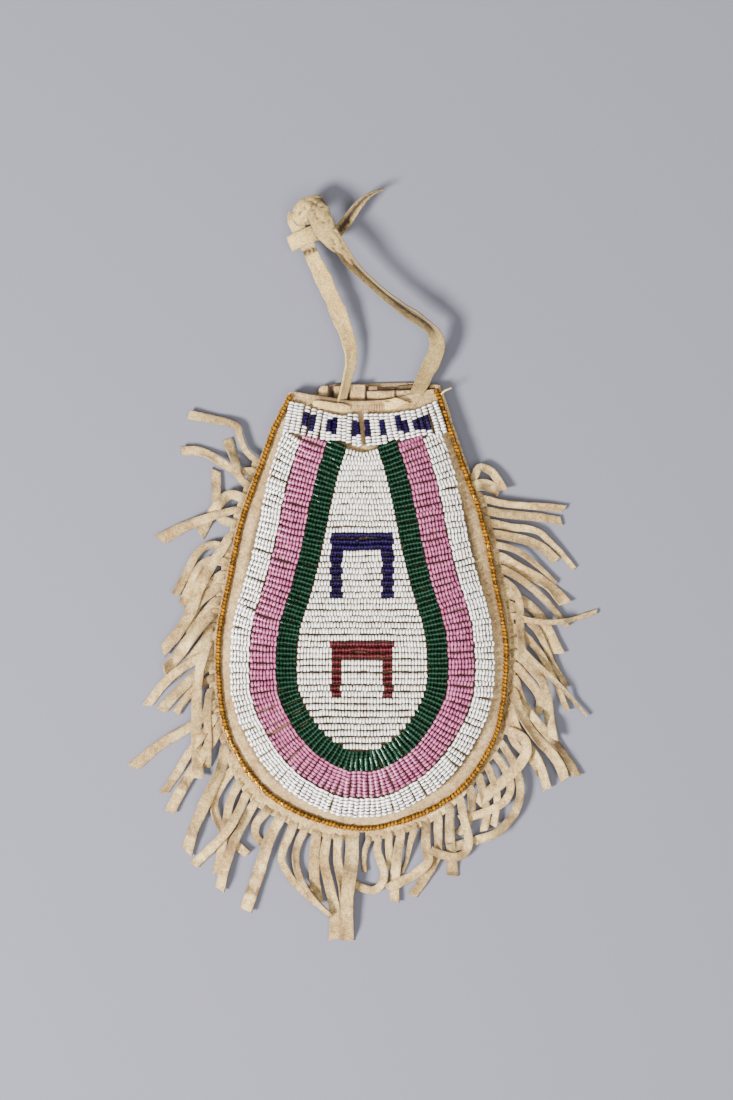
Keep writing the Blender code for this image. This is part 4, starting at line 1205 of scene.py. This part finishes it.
# %% Uncut strip at the roots
def add_welt(body, layers, placed, seed):
    """The strip that stays whole between the seam and the roots of the strands."""
    level = HIDE + CLEARANCE + FRINGE_HIDE / 2
    roots = []
    for distance, outward, strand, points in placed:
        half = (strand[0] * SQUARE - SLIT) / 2
        roots += [(distance - half, outward), (distance + half, outward)]
    start, end = roots[0][0], roots[-1][0]
    steps = round((end - start) / 0.0011)
    rings = []
    for k in range(steps + 1):
        distance = start + (end - start) * k / steps
        before = max((r for r in roots if r[0] <= distance + 1e-7), key=lambda r: r[0])
        after = min((r for r in roots if r[0] >= distance - 1e-7), key=lambda r: r[0])
        gap = max(after[0] - before[0], 1e-6)
        outward = before[1] + (after[1] - before[1]) * (distance - before[0]) / gap
        p, side = along(seam, distance), side_of(seam, distance)
        ring = []
        for out, b in ((-WELT, 0.9), (0, 1.0), (outward * 0.5, 1.05), (outward, 0.9),
                       (outward + 0.0003, 0.0), (outward, -0.9), (-WELT, -0.9)):
            spot = p + side * out
            z = level + b * FRINGE_HIDE / 2 + 0.00015 * wander(spot, 400, seed)
            z += WELT_RISE * max(0.0, min(1.0, out / outward))
            vertex = body.verts.new((spot.x, spot.y, z))
            # Painted light: the strip is kept light where the edge beads would shade it.
            vertex[layers[1]] = 1.0
            vertex[layers[2]] = max(0.0, 0.6 * wander(spot, 160, seed + 4) - 0.12)
            ring.append(vertex)
        rings.append(ring)
    sides = len(rings[0])
    for low, high in zip(rings, rings[1:]):
        for n in range(sides):
            m = (n + 1) % sides
            body.faces.new((low[n], low[m], high[m], high[n]))
    body.faces.new(rings[0][::-1])
    body.faces.new(rings[-1])


def fringe(name, strands, seed):
    body, layers = strap_body()
    placed = on_seam(strands)
    lay_strands(body, layers, placed, seed)
    add_welt(body, layers, placed, seed)
    made = finish_strap(name + "_hide", body, fringe_hide)
    settle(made, "fringe_hide", name)
    print(name, "strands:", len(strands), "faces:", len(made.data.polygons))
    return made


fringe_left = fringe("fringe_left", LEFT_STRANDS, 3)
fringe_right = fringe("fringe_right", RIGHT_STRANDS, 4)

# %% [markdown]
# ## Beads
# Every bead is a real piece of geometry: a short barrel of glass, swept along a line a bead long.
# The attribute `groove` rises towards its ends, where painted shade and some old grime darken the
# glass.
# Geometry Nodes puts one on each point of a guide mesh and turns its hole along the
# thread, which the guide carries as the attribute `along`. The tree ends by realizing the
# instances and setting the glass, so the result is one plain mesh. Thousands of beads
# placed by hand would take days, and here a new size or seed is one number.


# %% The bead tree
TREE_INPUTS = [("Geometry", "Geometry"), ("Bead diameter", "Float"), ("Bead length", "Float"),
               ("Roundness", "Float"), ("Size spread", "Float"), ("Sides", "Int"),
               ("Seed", "Int"), ("Glass", "Material")]
BARREL_RINGS = 5


def bead_tree():
    tree = bpy.data.node_groups.new("sew_on_beads", "GeometryNodeTree")
    for label, kind in TREE_INPUTS:
        tree.interface.new_socket(label, in_out="INPUT", socket_type="NodeSocket" + kind)
    tree.interface.new_socket("Geometry", in_out="OUTPUT", socket_type="NodeSocketGeometry")
    nodes, links = tree.nodes, tree.links
    given = nodes.new("NodeGroupInput").outputs
    out = nodes.new("NodeGroupOutput")

    def plus(kind, **sockets):
        made = nodes.new(kind)
        for name, value in sockets.items():
            feed(links, made.inputs[name.replace("_", " ")], value)
        return made

    def maths(operation, *values):
        return math_node(nodes, links, operation, *values)

    end = plus("ShaderNodeCombineXYZ", Z=maths("MULTIPLY", given["Bead length"], 0.5))
    start = plus("ShaderNodeCombineXYZ", Z=maths("MULTIPLY", given["Bead length"], -0.5))
    axis = plus("GeometryNodeCurvePrimitiveLine", Start=start.outputs[0], End=end.outputs[0])
    axis = plus("GeometryNodeResampleCurve", Curve=axis.outputs[0], Count=BARREL_RINGS)
    place = nodes.new("GeometryNodeSplineParameter").outputs["Factor"]
    off_middle = maths("SUBTRACT", maths("MULTIPLY", place, 2.0), 1.0)
    round_off = maths("SQRT", maths("SUBTRACT", 1.0, maths("POWER", off_middle, 2.0)))
    radius = maths("ADD", maths("MULTIPLY", round_off, given["Roundness"]),
                   maths("SUBTRACT", 1.0, given["Roundness"]))
    axis = plus("GeometryNodeSetCurveRadius", Curve=axis.outputs[0], Radius=radius)
    # Weight for the painted shade and grime at the bead ends.
    groove = maths("POWER", maths("ABSOLUTE", off_middle), 2.5)
    axis = plus("GeometryNodeStoreNamedAttribute", Geometry=axis.outputs[0], Name="groove",
                Value=groove)
    ring = plus("GeometryNodeCurvePrimitiveCircle", Resolution=given["Sides"],
                Radius=maths("MULTIPLY", given["Bead diameter"], 0.5))
    barrel = plus("GeometryNodeCurveToMesh", Curve=axis.outputs[0],
                  Profile_Curve=ring.outputs[0], Fill_Caps=True)
    barrel = plus("GeometryNodeSetShadeSmooth", Geometry=barrel.outputs[0])
    thread = nodes.new("GeometryNodeInputNamedAttribute")
    thread.data_type = "FLOAT_VECTOR"
    thread.inputs["Name"].default_value = "along"
    turned = plus("FunctionNodeAlignRotationToVector", Vector=thread.outputs["Attribute"])
    turned.axis = "Z"
    size = nodes.new("FunctionNodeRandomValue")
    size.data_type = "FLOAT"
    links.new(maths("SUBTRACT", 1.0, given["Size spread"]), size.inputs[2])
    links.new(maths("ADD", 1.0, given["Size spread"]), size.inputs[3])
    links.new(given["Seed"], size.inputs["Seed"])
    string = plus("GeometryNodeInstanceOnPoints", Points=given["Geometry"],
                  Instance=barrel.outputs[0], Rotation=turned.outputs[0],
                  Scale=size.outputs[1])
    tone = nodes.new("FunctionNodeRandomValue")
    tone.data_type = "FLOAT"
    links.new(maths("ADD", given["Seed"], 50.0), tone.inputs["Seed"])
    named = plus("GeometryNodeStoreNamedAttribute", Geometry=string.outputs[0],
                 Name="shade", Value=tone.outputs[1])
    named.domain = "INSTANCE"
    made = plus("GeometryNodeRealizeInstances", Geometry=named.outputs[0])
    made = plus("GeometryNodeSetMaterial", Geometry=made.outputs[0],
                Material=given["Glass"])
    links.new(made.outputs[0], out.inputs[0])
    return tree


sew_on_beads = bead_tree()
print("bead tree nodes:", len(sew_on_beads.nodes))

# %% [markdown]
# ### From a row of bead centres to a mesh
# Rows are strung between two points. The beads sit on the hide, and the middle of a row
# stands a little higher than its ends, because only the ends are sewn down. That low arch
# is what gives this stitch its ridges.

# %% Stringing and sewing
BEAD_LENGTH = 0.00106
ROW_GAP = CLEARANCE * 1.2
JITTER = 0.00007
WAY_JITTER = 0.15
ROUNDNESS = 0.78


def string_row(a, b, diameter, draw, arch, bow=0.0, bend=None):
    """Bead centres and thread directions of one row from a to b. Bow curves the row
    sideways, and bend is a rule that moves each bead up or down."""
    span = b - a
    count = max(1, round(span.length / BEAD_LENGTH))
    side = right_of(span)
    centres = []
    for k in range(count):
        t = (k + 0.5) / count
        hump = 1 - (2 * t - 1) ** 2
        p = a + span * t + side * (bow * hump + draw.uniform(-JITTER, JITTER))
        if bend:
            p.y += bend(p, t)
        z = on_front(p.x, p.y) + ROW_GAP + diameter / 2 + arch * hump
        centres.append(Vector((p.x, p.y, z + draw.uniform(-JITTER, JITTER))))
    beads = []
    for k, p in enumerate(centres):
        way = centres[min(k + 1, count - 1)] - centres[max(k - 1, 0)] if count > 1 else span
        askew = Vector((draw.uniform(-1, 1), draw.uniform(-1, 1), 0)) * WAY_JITTER
        beads.append((p, way.normalized() + askew))
    return beads


def sew(name, beads, glass, diameter, seed, length=BEAD_LENGTH, spread=0.08, sides=10):
    """Run the bead tree over the bead centres and keep the result as a plain mesh, which
    takes the place of the solid node of that name."""
    guide = bpy.data.meshes.new(name + "_guide")
    guide.from_pydata([p for p, way in beads], [], [])
    ways = guide.attributes.new("along", "FLOAT_VECTOR", "POINT")
    ways.data.foreach_set("vector", [c for p, way in beads for c in way])
    made = bpy.data.objects.new(name + "_of_glass", guide)
    bpy.context.scene.collection.objects.link(made)
    step = made.modifiers.new("beads", "NODES")
    step.node_group = sew_on_beads
    values = {"Bead diameter": diameter, "Bead length": length * 0.98,
              "Roundness": ROUNDNESS, "Size spread": spread, "Sides": sides, "Seed": seed,
              "Glass": glass}
    for item in sew_on_beads.interface.items_tree:
        if item.name in values and item.in_out == "INPUT":
            step[item.identifier] = values[item.name]
    evaluated = made.evaluated_get(bpy.context.evaluated_depsgraph_get())
    mesh = bpy.data.meshes.new_from_object(evaluated)
    made.modifiers.clear()
    made.data = mesh
    mesh.name = name
    settle(made, slot_of(glass), name)
    print(name, "beads:", len(beads), "faces:", len(mesh.polygons))


# %% [markdown]
# ### Three lanes
# White, pink and green lanes follow one line, the seam between the white and the pink.
# The rows run square to it. Nobody sews them perfectly even: they come in bunches of a
# few close rows that lean together, with a sliver of hide after each bunch.

# %% Bead lanes
LANE_LINE = [(417, 424), (433, 470), (440, 500), (448, 540), (458, 580), (470, 620),
             (474, 660), (471, 700), (453, 740), (428, 770), (393, 792), (362, 797)]
WHITE_LANE = 0.0066
PINK_LANE = 0.0088
GREEN_LANE = 0.0066
LANE_TAPER = 0.05
TAPER_LENGTH = 0.018
LEFT_LEG = 0.42
lane_line = spline(both_halves(LANE_LINE), 0.0005)
lane_length = length_of(lane_line)


# %% Rows across a lane
def lane_edge(offset):
    """Offset of the lane line, drawn in a little at both ends."""
    made = []
    run = 0.0
    for k, p in enumerate(lane_line):
        if k:
            run += (p - lane_line[k - 1]).length
        end = min(run, lane_length - run)
        share = 1 - LANE_TAPER * max(0, 1 - end / TAPER_LENGTH) if offset < 0 else 1
        made.append(p + right_of(tangent(lane_line, k)) * offset * share)
    return made


def sewn_places(run, pitch, most, spare, lean, draw):
    """Where rows cross a lane, and how far each leans."""
    places = []
    s = 0.0
    while s < run:
        tilt = draw.uniform(-lean, lean)
        for row in range(draw.randint(2, most)):
            places.append((s, tilt))
            s += pitch
        s += draw.uniform(0, spare)
    scale = run / places[-1][0]
    return [(s * scale + draw.uniform(-0.05, 0.05) * pitch, tilt) for s, tilt in places]


# %% Lane builder
def lane_beads(outer, inner, trim, pitch, diameter, most, spare, lean, seed, wave=0.00012,
               slant=0.0, arch=0.00018):
    """Rows across one lane, between two offsets of the lane line. Trim is what stays bare
    at both ends, most and spare are the rows of a bunch and the sliver after it, and slant
    lifts the outer ends on the left leg of the bag."""
    draw = random.Random(seed)
    left, right = lane_edge(outer), lane_edge(inner)
    middle = [(a + b) / 2 for a, b in zip(left, right)]
    runs = [0.0]
    for a, b in zip(middle, middle[1:]):
        runs.append(runs[-1] + (b - a).length)

    def cross(edge, s):
        s = min(max(s, 0), runs[-1])
        k = min(bisect.bisect_right(runs, s) - 1, len(runs) - 2)
        t = (s - runs[k]) / (runs[k + 1] - runs[k])
        return edge[k].lerp(edge[k + 1], min(max(t, 0), 1))

    beads = []
    left_leg = LEFT_LEG * runs[-1]
    for s, tilt in sewn_places(runs[-1] - 2 * trim, pitch, most, spare, lean, draw):
        tilt -= slant * max(0.0, 1 - s / left_leg)
        a = cross(left, trim + s + tilt)
        b = cross(right, trim + s - tilt)
        slip = (b - a).normalized() * draw.uniform(-0.0002, 0.0002)
        bow = draw.uniform(-wave, wave) * 1.6
        beads += string_row(a + slip, b + slip, diameter, draw, arch, bow)
    return beads


# %% White, pink and green
WHITE_BEAD = 0.00178
PINK_BEAD = 0.00183
GREEN_BEAD = 0.00168
white_beads = lane_beads(WHITE_LANE, 0.00015, 0.0060, 0.00186, WHITE_BEAD, most=5,
                         spare=0.00050, lean=0.00030, seed=21, slant=0.00055)
pink_beads = lane_beads(-0.00015, -PINK_LANE, 0.0045, 0.00190, PINK_BEAD, most=6,
                        spare=0.00016, lean=0.00013, seed=22, wave=0.00020, slant=0.00015)
green_beads = lane_beads(-PINK_LANE - 0.0001, -PINK_LANE - GREEN_LANE, 0.0032, 0.00164,
                         GREEN_BEAD, most=6, spare=0.00004, lean=0.00006, seed=23,
                         slant=0.0002, arch=0.0001)
sew("white_lane", white_beads, white_glass, WHITE_BEAD, 1)
sew("pink_lane", pink_beads, pink_glass, PINK_BEAD, 2)
sew("green_lane", green_beads, green_glass, GREEN_BEAD, 3)

# %% [markdown]
# ### The middle field and its two gates
# Between the legs of the green lane the rows run level, a little wavy, and the top ones
# sag into a shallow V. A gate is not a separate layer: the same rows simply change to navy
# or red where the figure is. Here and there two rows part and show the hide.

# %% Middle field
NAVY_GATE = [(331, 533), (393, 533), (393, 595), (382, 595), (382, 548), (342, 548),
             (342, 595), (331, 595)]
RED_GATE = [(331, 641), (393, 641), (393, 699), (383, 699), (383, 657), (341, 657),
            (341, 699), (331, 699)]
FIELD_BEAD = 0.00180
FIELD_ROWS = 49
TOP_ROW = 451.0
TOP_PITCH = 5.45
PITCH_GAIN = 0.0115
TOP_SAG = 0.0013
SAG_ROWS = 3.5
PARTINGS = [(362, 541, 9), (362, 650, 9), (351, 456, 5), (345, 505, 4)]


# %% Rules for the field
def inside(outline, p):
    """True if a point lies inside an outline of grid squares."""
    corners = [at(*c) for c in outline]
    hit = False
    for a, b in zip(corners, corners[1:] + corners[:1]):
        if (a.y > p.y) != (b.y > p.y) and p.x < a.x + (b.x - a.x) * (p.y - a.y) / (b.y - a.y):
            hit = not hit
    return hit


def parting(p):
    """How far a bead is pushed from the bare spots where neighbouring rows part."""
    push = 0.0
    for column, row, width in PARTINGS:
        spot = at(column, row)
        near = math.exp(-((p.x - spot.x) / (width * SQUARE)) ** 2)
        level = (p.y - spot.y) / (4.0 * SQUARE)
        push += 0.00035 * near * math.copysign(math.exp(-level * level), level)
    return push


# %% Field and gates
def field_beads(seed):
    """Level rows from side to side, shared out to cream, navy and red."""
    draw = random.Random(seed)
    edge = lane_edge(-PINK_LANE - GREEN_LANE - 0.0002)
    cream, navy, red = [], [], []
    for n in range(FIELD_ROWS + 1):
        y = at(0, TOP_ROW + TOP_PITCH * n + PITCH_GAIN * n * n).y
        half = half_width(edge, y) - 0.0001
        if half < 0.0012:
            continue
        sag = TOP_SAG * max(0.0, 1 - n / SAG_ROWS) ** 1.5
        lift = draw.uniform(-0.00010, 0.00010)

        def bend(p, t):
            drift = 0.00030 * wander(Vector((p.x, p.y, 0)), 130, 9.0)
            own = 0.00012 * wander(Vector((p.x, n * 0.01, 0)), 300, 17.0)
            return drift + own - sag * (1 - abs(2 * t - 1)) + parting(p)

        a = Vector((-half, y + lift + draw.uniform(-0.0001, 0.0001), 0))
        b = Vector((half, y + lift + draw.uniform(-0.0001, 0.0001), 0))
        for p, way in string_row(a, b, FIELD_BEAD, draw, 0.00012, bend=bend):
            level = Vector((p.x, y, 0))
            if inside(NAVY_GATE, level):
                navy.append((p, way))
            elif inside(RED_GATE, level):
                red.append((p, way))
            else:
                cream.append((p, way))
    return cream, navy, red


cream_beads, navy_beads, red_beads = field_beads(31)
sew("middle_field", cream_beads, cream_glass, FIELD_BEAD, 4)
sew("navy_gate", navy_beads, navy_glass, FIELD_BEAD, 5)
sew("red_gate", red_beads, red_glass, FIELD_BEAD, 6)

# %% [markdown]
# ### The band below the mouth
# Here the rows stand upright and fan out with the sides of the bag: fourteen on each side
# of a bare slit. Each row is listed with the place of its top and its foot. Seven small
# blocks are rows that change to navy for three or four beads.

# %% Band and blocks
BAND_LEFT = [(292, 402, 285, 432), (297, 403, 291, 433), (302, 404, 296.5, 434),
             (308.5, 406.5, 303, 436), (314.5, 409, 309.5, 437.5), (320.5, 411, 315, 438.5),
             (326.5, 412.5, 323, 440), (331, 414, 328.5, 441), (335.5, 415, 333.5, 441),
             (340.5, 416, 338.5, 441), (345, 416, 344, 442), (350.3, 414, 348.5, 444),
             (355.8, 414.5, 354.3, 446.5), (356.2, 420, 360.2, 447)]
BAND_RIGHT = [(366, 414, 369, 446.5), (371, 414, 374.5, 446), (376, 414, 379.5, 445.5),
              (381, 414.5, 385.3, 444.5), (386, 414, 391.5, 441), (391.5, 413.5, 397.3, 440),
              (396.5, 413, 403, 440.5), (401.5, 412, 408.6, 439), (407, 411, 414, 438),
              (412.5, 410.5, 419, 436.5), (418, 409, 424.6, 435.5), (423.5, 406.5, 430.5, 436),
              (429, 404.5, 438.8, 434), (434.2, 401.5, 445, 433.5)]
LEFT_BLOCKS = [[(3, 414.5, 427.5), (4, 416.5, 430)], [(7, 419, 432.5), (8, 419.5, 434)],
               [(12, 421, 437), (13, 423, 436)]]
RIGHT_BLOCKS = [[(0, 421.5, 437)], [(3, 421.5, 435)], [(6, 417.5, 431), (7, 419.5, 432.5)],
                [(9, 419, 428.5), (10, 416.5, 430.5), (11, 415.5, 429.5)]]
BAND_BEAD = 0.00174
BLOCK_BEAD = BAND_BEAD * 1.06


# %% Sewing the band
def band_beads(columns, blocks, seed):
    """Upright rows: white ones, and one list of beads for each block."""
    draw = random.Random(seed)
    white, filled = [], [[] for block in blocks]
    for n, (top_column, top_row, foot_column, foot_row) in enumerate(columns):
        a, b = at(top_column, top_row), at(foot_column, foot_row)
        row = string_row(a, b, BAND_BEAD, draw, 0.0002, draw.uniform(-0.0002, 0.0002))
        for p, way in row:
            home = white
            for block, beads in zip(blocks, filled):
                for column, top, foot in block:
                    if column == n and at(0, foot).y < p.y < at(0, top).y:
                        home = beads
            home.append((p, way))
    return white, filled


number = 0
for side, columns, blocks, seed in (("left", BAND_LEFT, LEFT_BLOCKS, 41),
                                    ("right", BAND_RIGHT, RIGHT_BLOCKS, 42)):
    white, filled = band_beads(columns, blocks, seed)
    sew("mouth_band_" + side, white, white_glass, BAND_BEAD, seed)
    for beads in filled:
        number += 1
        sew("navy_block_%d" % number, beads, navy_glass, BLOCK_BEAD, seed + number)

# %% [markdown]
# ### Edge beads
# One row of amber beads covers the seam, threaded end to end. The row wanders a little
# from side to side, and where the thread was pulled tight a bead stands askew.

# %% Edge beads
AMBER_BEAD = 0.00178
AMBER_LENGTH = 0.00124
AMBER_GAP = CLEARANCE * 1.5
AMBER_LEAN = 0.30


def edge_row(seed):
    """One row along the whole seam, up to the mouth at the right."""
    draw = random.Random(seed)
    ends = [at(436.6, 391), at(438.2, 394.4)]
    line = resample([p + edge_pull(p) for p in seam] + ends[::-1], AMBER_LENGTH)
    beads = []
    for k, p in enumerate(line):
        way = tangent(line, k)
        side = right_of(way)
        slip = 0.00016 * wander(p, 420, 2.0) + draw.uniform(-0.00007, 0.00007)
        z = on_front(p.x, p.y) + AMBER_GAP + AMBER_BEAD / 2 + draw.uniform(-1, 1) * 0.00008
        q = p + side * slip
        turned = way + side * (AMBER_LEAN + draw.uniform(-0.22, 0.22))
        turned.z += draw.uniform(-0.1, 0.1)
        beads.append((Vector((q.x, q.y, z)), turned))
    return beads


sew("edge_beads", edge_row(51), amber_glass, AMBER_BEAD, 7, length=AMBER_LENGTH, spread=0.12,
    sides=12)

# %% [markdown]
# ## Lacing
# The drawstring dips through slits in the front and shows twice below the hem as a flat
# strip. Both strips lie on the hide and are pressed into it at their ends. A torn flap
# stands up beside the right one.

# %% Lacing
LEFT_LACING = [(313, 403), (332, 407), (350, 409)]
RIGHT_LACING = [(385, 406), (396, 405), (407, 402)]
FLAP = [(390, 400.4), (399, 401.4), (409, 403.6)]
FLAP_LIFT = 0.0006


def lacing(name, squares, widths, seed, lift=0.0):
    """Flat strip on the hide; widths is a list of (share of the length, metres)."""
    route = spline([at(*p) for p in squares], 0.0005)
    last = len(route) - 1
    for k, p in enumerate(route):
        tuck = max(0.0, 1 - min(k, last - k) / 5)
        p.z = on_front(p.x, p.y) + CLEARANCE + lift + THONG_THICKNESS * (0.6 - 0.75 * tuck)
    body, layers = strap_body()
    add_strap(body, layers, route, [reading(widths, k / last) / 2 for k in range(last + 1)],
              THONG_THICKNESS / 2, [0.0] * (last + 1), 0.95, [0.0] * (last + 1), cup=-0.14,
              seed=seed, wave=0.16, ring_of=FINE_RING)
    made = finish_strap(name + "_hide", body, thong_hide)
    settle(made, "thong_hide", *own_node(name))
    print(name, "length, mm:", round(length_of(route) * 1000, 1))


lacing("lacing_left", LEFT_LACING, [(0, 0.0016), (0.15, 0.0027), (0.8, 0.0030), (1, 0.0020)],
       61.0)
lacing("lacing_right", RIGHT_LACING, [(0, 0.0029), (0.5, 0.0028), (1, 0.0008)], 62.0)
lacing("lacing_flap", FLAP, [(0, 0.0006), (0.25, 0.0019), (0.6, 0.0016), (1, 0.0003)], 63.0,
       FLAP_LIFT)

# %% [markdown]
# ### A loose thread
# At the right end of the mouth a cut end of the edge row's thread sticks out. It is a
# strap too, only half a millimetre wide.

# %% Loose thread
THREAD_HALF_WIDTH = 0.00028
THREAD_HALF_THICKNESS = 0.00020
thread_route = spline([at(440.5, 395, 0.0056), at(444.5, 391, 0.0062), at(448, 389.5, 0.0066),
                       at(451.5, 388, 0.0062)], 0.0004)
thread_count = len(thread_route)
body, layers = strap_body()
add_strap(body, layers, thread_route, [THREAD_HALF_WIDTH] * thread_count,
          THREAD_HALF_THICKNESS, [0.0] * thread_count, 1.0, [0.0] * thread_count, seed=81.0)
loose_thread = finish_strap("loose_thread", body, thong_hide)
settle(loose_thread, "thong_hide")
print("thread, mm:", round(length_of(thread_route) * 1000, 1))

# %% [markdown]
# ## Floor and light
# The bag lies on a plain pale grey sheet. A soft light from the left, a little below the
# bag, throws the shadows to the right and up. A wide weak one above and an even sky fill
# them, so no shadow is black.

# %% Floor and light
FLOOR = 3
SKY_STRENGTH = 0.46
floor_mesh = bpy.data.meshes.new("floor")
floor_mesh.from_pydata([(-FLOOR, -FLOOR, 0), (FLOOR, -FLOOR, 0), (FLOOR, FLOOR, 0),
                        (-FLOOR, FLOOR, 0)], [], [(0, 1, 2, 3)])
floor = bpy.data.objects.new("floor", floor_mesh)
bpy.context.scene.collection.objects.link(floor)
paper, _, _, paper_shader = new_finish("grey_paper")
paper_shader.inputs["Base Color"].default_value = (0.134, 0.133, 0.158, 1)
paper_shader.inputs["Roughness"].default_value = 0.95
floor_mesh.materials.append(paper)


def soft_light(name, place, aim, size, power):
    lamp = bpy.data.lights.new(name, "AREA")
    lamp.shape = "DISK"
    lamp.size = size
    lamp.energy = power
    made = bpy.data.objects.new(name, lamp)
    made.location = place
    made.rotation_euler = (Vector(aim) - Vector(place)).to_track_quat("-Z", "Y").to_euler()
    bpy.context.scene.collection.objects.link(made)


soft_light("window", (-0.86, -0.49, 0.99), (0, 0.02, 0), 0.42, 87)
soft_light("ceiling", (0.22, -0.20, 1.25), (0.05, -0.1, 0), 1.1, 20)
sky = bpy.data.worlds.new("sky")
sky.use_nodes = True
light = sky.node_tree.nodes["Background"].inputs
light["Color"].default_value = (0.86, 0.88, 0.95, 1)
light["Strength"].default_value = SKY_STRENGTH
bpy.context.scene.world = sky
print("lights: 2")
